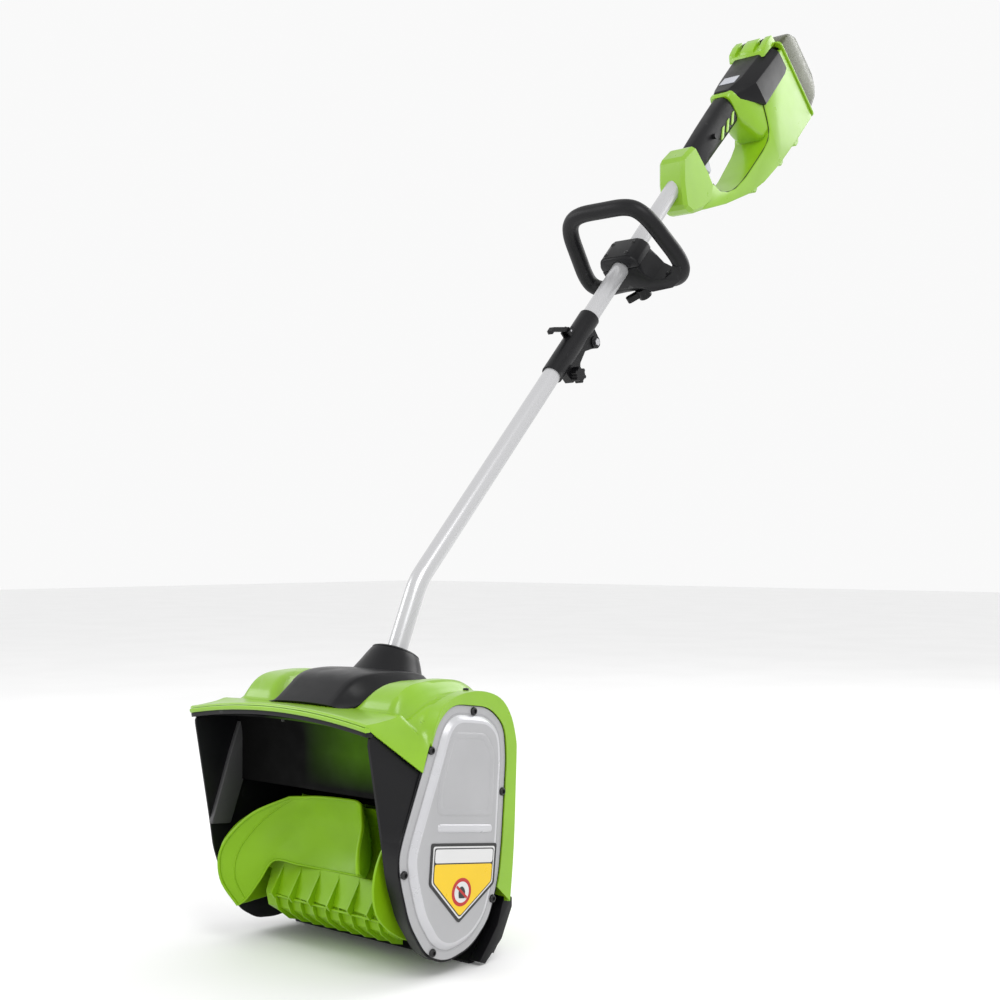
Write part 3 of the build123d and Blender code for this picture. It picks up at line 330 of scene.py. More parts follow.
def sheet(grid, thickness):
    """Closed thin wall from a grid of points, thickened along its own normals."""
    rows, count = len(grid), len(grid[0])
    back = []
    for r in range(rows):
        line = []
        for i in range(count):
            along = grid[min(r + 1, rows - 1)][i] - grid[max(r - 1, 0)][i]
            over = grid[r][min(i + 1, count - 1)] - grid[r][max(i - 1, 0)]
            line.append(grid[r][i] + along.cross(over).normalized() * thickness * MM)
        back.append(line)
    front_v, faces = loft(grid, closed=False, caps=False)
    back_v, back_f = loft(back, closed=False, caps=False)
    base = len(front_v)
    faces = faces + [tuple(base + i for i in reversed(face)) for face in back_f]
    rim = [i for i in range(count)] + [r * count + count - 1 for r in range(1, rows)]
    rim += [(rows - 1) * count + i for i in range(count - 2, -1, -1)]
    rim += [r * count for r in range(rows - 2, 0, -1)]
    for k, a in enumerate(rim):
        b = rim[(k + 1) % len(rim)]
        faces.append((a, b, base + b, base + a))
    return front_v + back_v, faces


def rounded(points, radius, steps=5, inset=0.0):
    """Round the corners of a closed outline, after moving its sides inwards by inset."""
    count = len(points)
    turn = sum(points[i][0] * points[(i + 1) % count][1] - points[(i + 1) % count][0] * points[i][1]
               for i in range(count))
    side = 1 if turn > 0 else -1
    moved = []
    for i in range(count):
        before, at, after = (Vector(points[(i + k) % count]) for k in (-1, 0, 1))
        one, two = (at - before).normalized(), (after - at).normalized()
        normal_one, normal_two = Vector((-one.y, one.x)) * side, Vector((-two.y, two.x)) * side
        middle = (normal_one + normal_two).normalized()
        moved.append(at + middle * (inset / max(0.3, middle.dot(normal_one))))
    result = []
    for i in range(count):
        before, at, after = (moved[(i + k) % count] for k in (-1, 0, 1))
        back, ahead = (before - at), (after - at)
        cut_back = min(radius, back.length * 0.45)
        cut_ahead = min(radius, ahead.length * 0.45)
        start, end = at + back.normalized() * cut_back, at + ahead.normalized() * cut_ahead
        for k in range(steps):
            t = k / (steps - 1)
            result.append(tuple(start * (1 - t) ** 2 + at * 2 * t * (1 - t) + end * t ** 2))
    return result


def circle(radius, count=48, start=0.0):
    return [(radius * math.cos(start + k * math.tau / count), radius * math.sin(start + k * math.tau / count))
            for k in range(count)]


def joined(*solids):
    """One vertex and face list from several."""
    vertices, faces = [], []
    for v, f in solids:
        base = len(vertices)
        vertices += list(v)
        faces += [tuple(base + i for i in face) for face in f]
    return vertices, faces


def smooth_line(points, steps=6):
    """Catmull-Rom curve through open points, as a list of tuples."""
    line = []
    for i in range(len(points) - 1):
        a, b, c, d = (Vector(points[min(max(i + k, 0), len(points) - 1)]) for k in (-1, 0, 1, 2))
        for k in range(steps):
            t = k / steps
            line.append(tuple(0.5 * (2 * b + (c - a) * t + (2 * a - 5 * b + 4 * c - d) * t ** 2
                                     + (3 * b - a - 3 * c + d) * t ** 3)))
    return line + [tuple(points[-1])]


def tube(points, radius, count=24, closed=False, squeeze=None):
    """Round bar along points given in metres."""
    rings = []
    total = len(points)
    previous = None
    for i, at in enumerate(points):
        ahead = points[(i + 1) % total] if closed or i < total - 1 else at
        behind = points[(i - 1) % total] if closed or i > 0 else at
        direction = (ahead - behind).normalized()
        side = Vector((0, -math.sin(SHAFT_ANGLE), math.cos(SHAFT_ANGLE))) if previous is None else previous
        side = (side - direction * side.dot(direction)).normalized()
        previous = side
        other = direction.cross(side)
        r = radius * MM * (squeeze(i / total) if squeeze else 1.0)
        rings.append([at + (side * math.cos(a) + other * math.sin(a)) * r
                      for a in (k * math.tau / count for k in range(count))])
    if closed:
        rings.append(rings[0])
    return loft(rings, caps=not closed)


# ---------------------------------------------------------------- hood
LEAN = math.radians(7.6)
COVER_CENTRE = (-50.0, 150.0)


def leaned(points):
    """Points in the belt cover's own axes, turned into y and z."""
    c, s = math.cos(LEAN), math.sin(LEAN)
    return [(COVER_CENTRE[0] + r * c + u * s, COVER_CENTRE[1] - r * s + u * c) for r, u in points]


COVER_OUTLINE = leaned([(-24, 147), (36, 147), (65, 128), (73, 92), (78, -2), (78, -44), (68, -90),
                        (42, -119), (4, -133), (-27, -125), (-57, -91), (-77, -46), (-83, -22), (-79, 0),
                        (-57, 79), (-45, 126)])
COVER_X = 172.0              # outer edge of the hood, flush with the cover's flange
SIDE_X = 150.0
VISOR = [(-166, 281), (-163, 283.2), (-150, 284), (-128, 286.5), (-112, 289.5)]
SHOULDER = [(-108, 290.6), (-100, 302), (-89, 312), (-74, 318.5), (-52, 321), (-20, 321.4), (5, 318),
            (27, 307), (43, 290), (51.5, 267), (52.5, 240), (51, 200), (49.5, 150), (47, 110), (44, 70)]
LEVEL = [(-104, 291), (-96, 291.6), (-85, 292), (-70, 293), (-50, 296), (-20, 303), (5, 309), (26, 306),
         (42, 291), (51.5, 268), (53.5, 240), (52, 200), (50.5, 150), (48, 110), (45, 70)]
INNER_RIM = [(-106, 282.6), (-98, 284), (-88, 288), (-71, 297), (-50, 303), (-21, 306), (4, 302.5), (26, 293),
             (41, 276), (49.5, 253), (51, 236), (49.5, 200), (47.5, 150), (44.5, 110), (40, 69)]
RIM_FRONT = [(-101, 228), (-99.5, 233), (-97.5, 239), (-95, 246), (-92.5, 253)]
OUTER_RIM = [(-90, 259), (-87, 268), (-82, 280), (-72, 296), (-51, 307), (-22, 311), (5, 307.5), (27, 297),
             (42, 277), (50, 250), (50.6, 234), (49.2, 200), (47, 150), (44, 110), (39, 67)]


def nose_half(y):
    """Half width of the motor cover, which widens away from the mouth."""
    return 66.0 + 22.0 * min(1.0, max(0.0, (y + 100.0) / 80.0))


def visor_lift(x):
    """The visor's front edge is crowned."""
    return 12.0 * (1 - (x / SIDE_X) ** 2)


def hood_line(x):
    """Profile of the hood at x: visor, shoulder, top, back."""
    reach = abs(x)
    if x > SIDE_X:
        t = (x - SIDE_X) / (COVER_X - SIDE_X)
        swell = min(1.0, t * 2.6)
        swell = swell * swell * (3 - 2 * swell)
        start = [(mix(a[0], b[0], t), mix(a[1], b[1], t)) for a, b in zip(VISOR, RIM_FRONT)]
        rest = [(mix(a[0], b[0], mix(t, swell, i / 4) if i < 4 else swell),
                 mix(a[1], b[1], mix(t, swell, i / 4) if i < 4 else swell))
                for i, (a, b) in enumerate(zip(INNER_RIM, OUTER_RIM))]
        return start + rest
    lift = visor_lift(x)
    fade = [1.0, 1.0, 0.85, 0.5, 0.2]
    start = [(y, z + lift * f) for (y, z), f in zip(VISOR, fade)]
    outer = min(1.0, max(0.0, (reach - 125.0) / 17.0))
    outer = outer * outer * (3 - 2 * outer)
    line = []
    for low, high, rim in zip(LEVEL, SHOULDER, INNER_RIM):
        inner = math.sin(min(1.0, max(0.0, (reach - nose_half(high[0])) / 20.0)) * math.pi / 2)
        raised = (mix(low[0], high[0], inner), mix(low[1], high[1], inner))
        line.append((mix(raised[0], rim[0], outer), mix(raised[1], rim[1], outer)))
    return start + line


RIGHT_X = [20, 40, 56, 64, 68, 72, 76, 80, 84, 88, 92, 96, 101, 108, 116, 122, 126, 130, 134, 138, 142, 146,
           150]
HOOD_X = [-154, -152] + [-x for x in reversed(RIGHT_X)] + [0] + RIGHT_X
HOOD_X += [152, 154, 156, 158, 161, 164, 168, 171, 172.5]


def hood():
    """The green hood: crowned visor, two shoulders, fillets down to the rim round the belt cover."""
    grid = [[flat(y, z, x) for y, z in smooth_line(hood_line(min(max(x, -150), 172)), 3)] for x in HOOD_X]
    v, f = sheet(grid, -2.6)
    piece("hood", v, f, "housing", "green_plastic", ["hood_shell"], sharp=38)
    lip = [[flat(y, z + visor_lift(x) - drop, x) for y, z, drop in
            ((-168.5, 281, 0.6), (-168.8, 281, 3.2), (-167.5, 281, 5.6), (-160, 281, 5.8), (-160, 281, 1.0))]
           for x in range(-152, 153, 8)]
    v, f = loft(lip)
    piece("visor_lip", v, f, "housing", "green_plastic", bevel=0.6)
    trim = [[flat(y, z + visor_lift(x), x) for y, z in
             ((-166.5, 275.2), (-165.8, 270.4), (-158, 269.8), (-150, 274.6), (-150, 276.5), (-158, 276.2))]
            for x in range(-152, 153, 8)]
    v, f = loft(trim)
    piece("visor_trim", v, f, "housing", "black_plastic", bevel=0.5)


hood()


# ---------------------------------------------------------------- motor cover and boot
def nose():
    """The black motor cover between the shoulders, sweeping back to the boot."""
    centre = [(-124, 294), (-119, 298.5), (-111, 305), (-101, 313), (-91, 320), (-79, 324.5), (-62, 327),
              (-40, 327.4), (-20, 326.5), (2, 323.5), (24, 315), (36, 303)]
    base = [(-122, 290.6), (-115, 291.6), (-107, 292.4), (-97, 295), (-88, 298.5), (-79, 302), (-62, 306),
            (-40, 308), (-20, 308.5), (2, 308.5), (24, 305), (36, 299)]
    rows = []
    shares = [0.15, 0.35, 0.55, 0.67, 0.71, 0.75, 0.79, 0.83, 0.88, 0.93, 0.97, 1]
    for share in [-part for part in reversed(shares)] + [0] + shares:
        outside = min(1.0, max(0.0, (abs(share) - 0.69) / 0.31))
        fall = math.sin(outside * math.pi / 2) ** 1.2
        crown = 1.5 * (1 - min(1.0, abs(share) / 0.69) ** 2)
        row = []
        for c, b in zip(smooth_line(centre, 3), smooth_line(base, 3)):
            half = (nose_half(c[0]) + 3.0) * (1 - 0.5 * max(0.0, (c[0] - 2.0) / 34.0) ** 2)
            row.append(flat(mix(c[0], b[0], fall), mix(c[1] + crown, b[1], fall), share * half))
        rows.append(row)
    v, f = sheet(rows, -2.4)
    piece("motor_nose", v, f, "housing", "black_plastic", ["motor_cover"], sharp=40)


def boot():
    """Cone round the foot of the shaft, with a rounded top."""
    sizes = [(150, 66, 50), (142, 60, 47), (134, 54.5, 44), (124, 47.5, 40.5), (114, 41, 37),
             (104, 35.5, 33.5), (98, 32, 31), (94.5, 29.5, 29), (92.2, 26.5, 26.2), (91.0, 22, 22),
             (90.4, 18, 18), (90.4, 13.2, 13.2), (104, 13.2, 13.2)]
    rings = [[on_stub(below, wide * c, deep * s) for c, s in circle(1.0, 64)] for below, wide, deep in sizes]
    v, f = loft(rings, caps=False)
    piece("boot", v, f, "housing", "black_plastic", ["shaft_boot"], sharp=50)
    seam = [[on_stub(89.2 + d, r * c, r * s) for c, s in circle(1.0, 64)]
            for d, r in ((3.6, 27.6), (4.4, 29.3), (5.4, 29.9), (6.2, 29.3))]
    v, f = loft(seam, caps=False)
    piece("boot_bead", v, f, "housing", "black_plastic", sharp=60)


nose()
boot()

# ---------------------------------------------------------------- belt case and its silver cover
FLANGE_X = 170.6


def cover_rings(levels, place_x=0.0, radius=15.0):
    """Rings of the cover's outline, each inset by its own distance and standing at its own x."""
    return [[flat(y, z, place_x + x)
             for y, z in rounded(COVER_OUTLINE, max(4.0, radius - 0.2 * inset), 6, inset)]
            for inset, x in levels]


def silver_cover():
    """Pressed cover: flange, step, border in a brighter silver as painted highlight, sunk main face."""
    shell = [(0.3, FLANGE_X - 1.2), (0.0, FLANGE_X), (0.8, FLANGE_X + 0.9), (8.6, FLANGE_X + 1.5),
             (9.4, FLANGE_X + 0.9), (10.4, FLANGE_X + 0.9), (11.0, FLANGE_X + 1.8)]
    v, f = loft(cover_rings(shell), caps=False)
    rings_back = cover_rings([(12.5, FLANGE_X - 1.2), (0.3, FLANGE_X - 1.2)])
    v2, f2 = loft(rings_back, caps=False)
    border = [(11.0, FLANGE_X + 1.8), (15.2, FLANGE_X + 6.2), (16.4, FLANGE_X + 6.9)]
    v3, f3 = loft(cover_rings(border), caps=False)
    v, f = joined((v, f), (v2, f2))
    piece("cover_flange", v, f, "housing", "silver_cover", ["belt_cover"], sharp=40)
    v, f = joined((v3, f3), loft(cover_rings([(16.4, FLANGE_X + 6.9), (19.0, FLANGE_X + 7.1)]), caps=False))
    # the border's brighter silver is painted highlight
    piece("cover_border", v, f, "housing", "cover_painted_highlight", sharp=30)
    face = [(19.0, FLANGE_X + 7.1), (20.2, FLANGE_X + 6.9), (22.0, FLANGE_X + 6.6), (40.0, FLANGE_X + 6.6)]
    rings = cover_rings(face)
    v, f = loft(rings, caps=False)
    count = len(rings[0])
    f.append(tuple(range((len(rings) - 1) * count, len(rings) * count)))
    piece("cover_face", v, f, "housing", "silver_cover", sharp=40)
    ridge = leaned([(-34, 17), (52, 17), (54, 12), (52, 7), (-34, 7), (-36, 12)])
    levels = ((0, FLANGE_X + 6.0), (1.2, FLANGE_X + 7.6), (2.6, FLANGE_X + 8.2))
    v, f = loft([[flat(y, z, x) for y, z in rounded(ridge, 3, 5, inset)] for inset, x in levels])
    # the ridge's brighter silver is painted highlight
    piece("cover_ridge", v, f, "housing", "cover_painted_highlight", sharp=40)
    frame_line = leaned([(-26, 117), (30, 118), (47, 98), (53, 25), (-38, 25), (-40, 56)])
    levels = ((0, FLANGE_X + 6.4), (1.6, FLANGE_X + 7.5), (3.4, FLANGE_X + 7.9), (5.4, FLANGE_X + 7.5),
              (8.0, FLANGE_X + 6.4))
    v, f = loft([[flat(y, z, x) for y, z in rounded(frame_line, 9, 6, inset)] for inset, x in levels],
                caps=False)
    piece("cover_frame", v, f, "housing", "silver_cover", sharp=60)


LABEL = [(-93, 151.5), (12, 137.5), (7, 93), (-51, 58.5), (-97, 107)]
LABEL_X = FLANGE_X + 7.15


def plate(name, outline, x, look, replaced=(), radius=3.0):
    """Thin printed layer of the label."""
    v, f = prism(rounded(outline, radius, 4), x, x + 0.25, flat)
    return piece(name, v, f, "housing", look, replaced)


def label():
    """Wordless sign: bordered house shape, pale head band, yellow field, red ring."""
    for depth, (inset, look) in enumerate(((0, "label_black"), (3.2, "label_white"), (5.0, "label_black"))):
        v, f = prism(rounded(LABEL, 3, 4, inset), LABEL_X - 0.65, LABEL_X + 0.3 + 0.25 * depth, flat)
        piece(f"label_layer_{depth}", v, f, "housing", look, ["cover_label"] if depth == 0 else ())
    inner = [Vector(p) for p in rounded(LABEL, 0.01, 2, 6.2)][::2]
    top_left, top_right, right_low, tip, left_low = inner
    band_left, band_right = top_left.lerp(left_low, 0.42), top_right.lerp(right_low, 0.42)
    plate("label_head", [top_left, top_right, band_right, band_left], LABEL_X + 0.7, "label_white")
    line_left, line_right = top_left.lerp(left_low, 0.46), top_right.lerp(right_low, 0.46)
    plate("label_field", [line_left, line_right, right_low, tip, left_low], LABEL_X + 0.7, "label")
    ring = (-47.0, 92.0)
    for depth, (radius, look) in enumerate(((15.5, "label_red"), (11.5, "label_white"))):
        outline = [(ring[0] + a, ring[1] + b) for a, b in circle(radius, 40)]
        v, f = prism(outline, LABEL_X + 0.9, LABEL_X + 1.15 + 0.2 * depth, flat)
        piece(f"label_ring_{depth}", v, f, "housing", look)
    bar = [(-56, 98.4), (-54, 100.4), (-38, 85.6), (-40, 83.6)]
    plate("label_bar", bar, LABEL_X + 1.4, "label_red", radius=0.5)
    knuckle = [(-52, 86), (-42, 84.6), (-41.6, 93), (-45, 98), (-49, 98.4), (-52, 94)]
    plate("label_shape", knuckle, LABEL_X + 1.36, "label_black", radius=2.0)


def cover_screws():
    """Button head screws with a round socket."""
    spots = leaned([(11, 141), (-51, 95), (71, 53), (-75, -38), (70, -67), (-20, -122)])
    parts = []
    for y, z in spots:
        rings = [[flat(y + a * r, z + b * r, x) for a, b in circle(1.0, 24)]
                 for r, x in ((4.6, FLANGE_X + 0.6), (4.7, FLANGE_X + 2.0), (4.2, FLANGE_X + 3.4),
                              (3.2, FLANGE_X + 4.2), (2.2, FLANGE_X + 4.3), (2.0, FLANGE_X + 2.6))]
        parts.append(loft(rings))
    v, f = joined(*parts)
    piece("cover_screws", v, f, "housing", "black_screw", ["belt_cover_screws"], sharp=40)


silver_cover()
label()
cover_screws()

PANEL_FRONT = [(-162, 271), (-138, 143), (-133, 112), (-118, 70), (-91, 30), (-66, 15), (-38, 12), (-8, 15),
               (24, 36), (40, 68), (44, 150), (45, 230), (38, 270), (18, 291), (-20, 298), (-66, 296),
               (-90, 286), (-110, 279)]


def star(outline, angle, centre=(-50.0, 150.0)):
    """Where a ray from the centre meets an outline."""
    ray = Vector((math.cos(angle), math.sin(angle)))
    best = 0.0
    for i, a in enumerate(outline):
        b = outline[(i + 1) % len(outline)]
        one = Vector(a) - Vector(centre)
        edge = Vector(b) - Vector(a)
        cross = ray.x * edge.y - ray.y * edge.x
        if abs(cross) < 1e-9:
            continue
        reach = (one.x * edge.y - one.y * edge.x) / cross
        share = (one.x * ray.y - one.y * ray.x) / cross
        if reach > 0 and -1e-6 <= share <= 1 + 1e-6:
            best = max(best, reach)
    return centre[0] + ray.x * best, centre[1] + ray.y * best


def belt_case():
    """Black belt case: side panel with its flared wall out to the silver cover."""
    wall = rounded(COVER_OUTLINE, 15, 6, -2.6)
    back = rounded(COVER_OUTLINE, 14, 6, 3.0)
    front = rounded(PANEL_FRONT, 10, 4)
    angles = sorted({round(k * math.tau / 120, 6) for k in range(120)}
                    | {round(math.atan2(z - 150.0, y + 50.0) % math.tau, 6) for y, z in PANEL_FRONT})
    rings = []
    for outline, x in ((back, 168.8), (back, 153.0)):
        rings.append([flat(*star(outline, a), x) for a in angles])
    rings += [[flat(*star(front, a), x) for a in angles] for x in (147.2, 150.5)]
    rings += [[flat(*star(wall, a), x) for a in angles] for x in (167.6, 169.4)]
    rings.append([flat(*star(back, a), 169.4) for a in angles])
    rings.append([flat(*star(back, a), 168.8) for a in angles])
    v, f = loft(rings, caps=False)
    inner = [flat(*star(front, a), 147.2) for a in angles]
    v2, f2 = inner, [tuple(range(len(inner)))]
    v, f = joined((v, f), (v2, f2))
    piece("belt_case", v, f, "housing", "black_plastic", ["right_side_panel"], sharp=25)


def left_panel():
    """Left wall with the stepped grey rib on its inside."""
    v, f = prism(rounded(PANEL_FRONT, 9, 5), -153, -150, flat)
    piece("left_wall", v, f, "housing", "black_plastic", ["left_side_panel"], bevel=0.8)
    rib = [(-58, 263), (-98, 261), (-110, 230), (-141, 141), (-112, 138), (-80, 222), (-68, 240), (-40, 248)]
    v, f = prism(rounded(rib, 2, 3), -150.5, -144, flat)
    piece("left_rib", v, f, "housing", "grey_rib", bevel=1.2)
    hub = [[flat(ROTOR_AXIS[0] + r * a, ROTOR_AXIS[1] + r * b, x) for a, b in circle(1.0, 48)]
           for r, x in ((30, -150), (27, -146), (23, -143.4), (16.1, -143.2))]
    v, f = loft(hub, caps=False)
    piece("left_boss", v, f, "housing", "black_plastic", sharp=40)


def rim_face():
    """Green edge of the hood, closing the band between its rim and the silver cover."""
    snug = rounded(COVER_OUTLINE, 15, 6, -0.6)
    rim_line = smooth_line(OUTER_RIM, 4)
    rows = [[flat(y, z, 172.3) for y, z in rim_line],
            [flat(*star(snug, math.atan2(z - 150.0, y + 50.0)), 171.4) for y, z in rim_line]]
    v, f = sheet(rows, 2.0)
    piece("rim_face", v, f, "housing", "green_plastic")


def guard_cheek():
    """Black end of the rear guard beside the belt case."""
    v, f = prism([(37, 72), (51, 69), (51, 58), (33, 24), (5, 1), (-5, 5), (12, 24), (26, 42)], 150.6, 167,
                 flat)
    piece("guard_cheek", v, f, "housing", "black_plastic", bevel=1.0)


def chamber():
    """Roof of the chamber, the green hood's underside in painted shade: black, turning dark green deep on the
    right.
    """
    line = smooth_line([(-157, 273.5), (-140, 276), (-118, 279), (-102, 273), (-94, 252), (-93, 224),
                        (-93, 190)], 4)
    grid = [[flat(y, z + 8 * (1 - (x / 150) ** 2) * max(0, (z - 255) / 22), x) for y, z in line]
            for x in range(-149, 150, 8)]
    v, f = sheet(grid, -2.2)
    # the roof's black and dark green are painted shade
    piece("roof", v, f, "housing", "roof_painted_shade", ["chamber_roof"], sharp=40)


def hood_screws():
    """One screw on the hood's rim and three under the visor."""
    rim_x, rim_y = 158, -18
    visor_y = -138
    rings = [[flat(rim_y + r * a, z, rim_x + r * b) for a, b in circle(1.0, 24)]
             for r, z in ((3.4, 308.5), (3.4, 312.6), (2.8, 313.2), (1.6, 313.2), (1.5, 311.5))]
    parts = [loft(rings)]
    for x in (-134, -16, 98):
        parts.append(loft([[flat(visor_y + r * a, z, x + r * b) for a, b in circle(1.0, 20)]
                           for r, z in ((2.9, 276.5), (2.9, 273.2), (2.3, 272.6))]))
    v, f = joined(*parts)
    piece("visor_screws", v, f, "housing", "black_screw", ["hood_screws"], sharp=40)


belt_case()
left_panel()
guard_cheek()
hood_screws()
chamber()
rim_face()


# ---------------------------------------------------------------- rotor
# Columns of the scoop from its left edge to its right edge, each from the tip down to the lip, as x, the
# distance forward of the axle and the height above it.
SCOOP = [
    [(-56, 36, 77), (-93, 64, 56), (-122, 83, 18), (-126, 82, -20), (-115, 65, -53)],
    [(-46, 33, 78), (-78, 48, 52), (-103, 64, 16), (-110, 68, -16), (-106, 58, -44)],
    [(-34, 30, 79), (-58, 32, 52), (-76, 46, 24), (-86, 52, 0), (-92, 50, -22)],
    [(-20, 28, 80.5), (-38, 19, 54), (-54, 28, 30), (-64, 38, 14), (-75, 43, 2)],
    [(5, 26, 82), (-10, 13, 54), (-22, 16, 28), (-34, 24, 12), (-42, 33, 0)],
    [(28, 25, 82.5), (20, 12, 54), (12, 13, 28), (6, 18, 12), (2, 25, -2)],
    [(48, 25, 82.5), (50, 15, 54), (54, 15, 30), (58, 20, 13), (60, 29, 0)],
    [(62, 31, 80.5), (74, 33, 58), (82, 38, 36), (88, 45, 20), (90, 54, 8)],
    [(70, 37, 77), (92, 57, 63), (103, 73, 43), (110, 81, 30), (114, 84, 18)],
]
CORE = [(21, 76), (6, 52), (8, 26), (19, 3), (24, -5), (36, -38), (32, -55), (15, -68), (-6, -73)]
RIGHT_PLATE = [(30, 78), (62, 56), (79, 26), (83, 0), (78, -24), (62, -42), (38, -57), (8, -67)]
CORE_END = [(6, 58), (2, 44), (8, 26), (19, 3), (24, -5), (36, -38), (32, -55), (15, -66), (-1, -66)]
LEFT_PLATE = [(52, -59), (70, -34), (80, -6), (74, 20), (52, 40), (18, 54)]


def on_rotor(forward, height, x, flip=1):
    """Place a point forward of and above the axle. flip -1 turns it half a turn."""
    return Vector((x, ROTOR_AXIS[0] - flip * forward, ROTOR_AXIS[1] + flip * height)) * MM


def scoop(flip):
    """One scoop blade as a curved sheet with a raised, rounded edge."""
    columns = [smooth_line(column, 6) for column in SCOOP]
    rows = [smooth_line([column[k] for column in columns], 5) for k in range(len(columns[0]))]
    grid = [[on_rotor(forward, height, x, flip) for x, forward, height in row] for row in rows]
    v, f = sheet(grid, -2.4 * flip)
    edge = list(reversed([row[0] for row in grid])) + grid[0][1:-1] + [row[-1] for row in grid]
    bead = tube(edge, 1.9, 10)
    lip = tube(grid[-1], 1.3, 8)
    channel = tube([row[4] for row in grid], 1.0, 8)
    return joined((v, f), bead, lip, channel)


def rotor():
    """Two scoops round a ribbed core, between their end plates."""
    parts = [scoop(1), scoop(-1)]
    rings = []
    for x, half in ((-98, CORE_END), (-84, CORE_END), (-54, CORE), (70, CORE), (100, CORE_END),
                    (112, CORE_END)):
        rings.append([on_rotor(a, b, x) for a, b in half + [(-a, -b) for a, b in half]])
    parts.append(loft(rings))
    for flip in (1, -1):
        for x in (-76, -44, -11, 22, 56, 88):
            rib = [(25, -2), (47, -36), (42, -43), (34, -40), (22, -8)]
            parts.append(prism(rib, x - 1.3, x + 1.3, lambda a, b, p: on_rotor(a, b, p, flip)))
        cells = (-76, -44, -11, 22, 56, 88, 112)
        for low, high in zip(cells, cells[1:]):
            facet = [[on_rotor(a, b, x, flip) for x, a, b in ((low, 25, -3), (high, 25, -3))],
                     [on_rotor(a, b, x, flip) for x, a, b in ((low, 36, -38), (high, 42, -38))]]
            parts.append(sheet(facet, 1.5 * flip))
        for k in range(9):
            x = -76 + 22 * k
            rib = [(39, -37), (40, -46), (35, -58), (18, -71), (2, -75), (2, -70), (14, -66), (30, -54)]
            parts.append(prism(rib, x - 0.9, x + 0.9, lambda a, b, p: on_rotor(a, b, p, flip)))
        bar = [on_rotor(39, -39 - 4 * (x + 98) / 210, x, flip) for x in range(-88, 113, 10)]
        parts.append(tube(bar, 1.5, 12))
    left = rounded(LEFT_PLATE + [(-a, -b) for a, b in LEFT_PLATE], 12, 5)
    parts.append(loft([[on_rotor(a, b, x) for a, b in rounded(left, 1, 2, inset)]
                       for inset, x in ((0.8, -137), (0.0, -136.2), (0.0, -134.6), (0.8, -134))]))
    right = rounded(RIGHT_PLATE + [(-a, -b) for a, b in RIGHT_PLATE], 14, 5)
    parts.append(loft([[on_rotor(a, b, x) for a, b in rounded(right, 1, 2, inset)]
                       for inset, x in ((0.8, 133.6), (0.0, 134.4), (0.0, 136.2), (0.8, 137))]))
    for low, high in ((-134, -98), (112, 134)):
        parts.append(loft([[on_rotor(a * 20, b * 20, x) for a, b in circle(1.0, 36)] for x in (low, high)]))
    v, f = joined(*parts)
    # the scoops use a darker copy of the green plastic as painted shade
    piece("rotor_scoops", v, f, "rotor", "rotor_green_painted_shade",
          ["rotor_scoop_front", "rotor_scoop_back"], sharp=34)


rotor()

# ---------------------------------------------------------------- loop handle
LOOP_AT = 630.0


def loop_bar():
    """The D shaped front handle bar, leaning back a little towards its top."""
    corners = [(-52, 83), (46, 83), (66, 62), (87, -20), (72, -45), (30, -42), (-30, -42), (-74, -47),
               (-91, -30), (-77, 62)]
    line = rounded(corners, 26, 9)
    points = [on_shaft(LOOP_AT + 8 * (n + 37) / 107.0, n, x) for x, n in line]
    v, f = tube(points, 12.0, closed=True)
    saddle = []
    for along in (-23, -21, -10, 0, 10, 21, 23):
        edge = 1.5 if abs(along) == 23 else 0.0
        shape = [(-34 + edge, -1), (-34 + edge, -26), (-28, -35 + edge), (20, -38 + edge), (32, -48 + edge),
                 (60, -52 + edge), (80, -42 + edge), (90 - edge, -20), (78, -14), (70, -27), (56, -33),
                 (42, -28), (34, -15), (30 - edge, -1)]
        saddle.append([on_shaft(LOOP_AT + along * (1 - 0.5 * min(1.0, max(0.0, (x - 34.0) / 30.0))), n, x)
                       for x, n in shape])
    piece("loop_bar", v, f, "loop_grip", "soft_grip", ["loop_handle"], sharp=60)
    v, f = loft(saddle)
    piece("loop_saddle", v, f, "loop_grip", "black_plastic", bevel=2.0, segments=3)


def loop_top():
    """Upper clamp half with its eased shoulders."""
    rings = []
    for along in (-23, -20, 20, 23):
        cut = 2.0 if abs(along) == 23 else 0.0
        shape = [(-34 + cut, 0.2), (-34 + cut, 8 - cut), (-28, 18 - cut), (-20, 21 - cut), (18, 21 - cut),
                 (26, 18 - cut), (33 - cut, 9 - cut), (33 - cut, 0.2)]
        shape += [(13.2 * math.cos(a), 13.2 * math.sin(a)) for a in (k * math.pi / 12 for k in range(13))]
        rings.append([on_shaft(LOOP_AT + along, n, x) for x, n in shape])
    v, f = loft(rings)
    piece("loop_cap", v, f, "loop_grip", "black_plastic", ["loop_clamp"], bevel=1.2,
          sharp=28)


def clamp_screws():
    """Socket screws sunk in the top of the clamp."""
    parts = []
    for along in (-12, 12):
        for x in (-20, 16):
            rings = [[on_shaft(LOOP_AT + along + r * a, n, x + r * b) for a, b in circle(1.0, 20)]
                     for r, n in ((3.6, 20.2), (3.6, 21.2), (3.0, 21.5), (1.9, 21.5), (1.7, 20.4))]
            parts.append(loft(rings))
    v, f = joined(*parts)
    piece("clamp_screws", v, f, "loop_grip", "black_screw", ["loop_clamp_screws"], sharp=40)


loop_bar()
loop_top()
clamp_screws()

# ---------------------------------------------------------------- rear handle
COLLAR = [(826, 34), (858, 30), (868, 26), (868, -20), (864, -46), (838, -60), (812, -54), (786, -41),
          (777, -22), (800, 10)]
GUARD = [(806, -50), (822, -60), (870, -87), (931, -114), (975, -125), (1032, -131), (1103, -132),
         (1154, -131), (1161, -126), (1161, 0), (1156, 2), (1058, 2), (1058, -36), (1051, -56), (1043, -73),
         (1030, -83), (1005, -87), (940, -88), (905, -84), (884, -75), (870, -62), (864, -44), (840, -26)]


def flank(along, _above):
    """Half width of the handle's side, the same at every height and wider towards the battery bay."""
    return 23.0 + 0.06 * (along - 860.0)


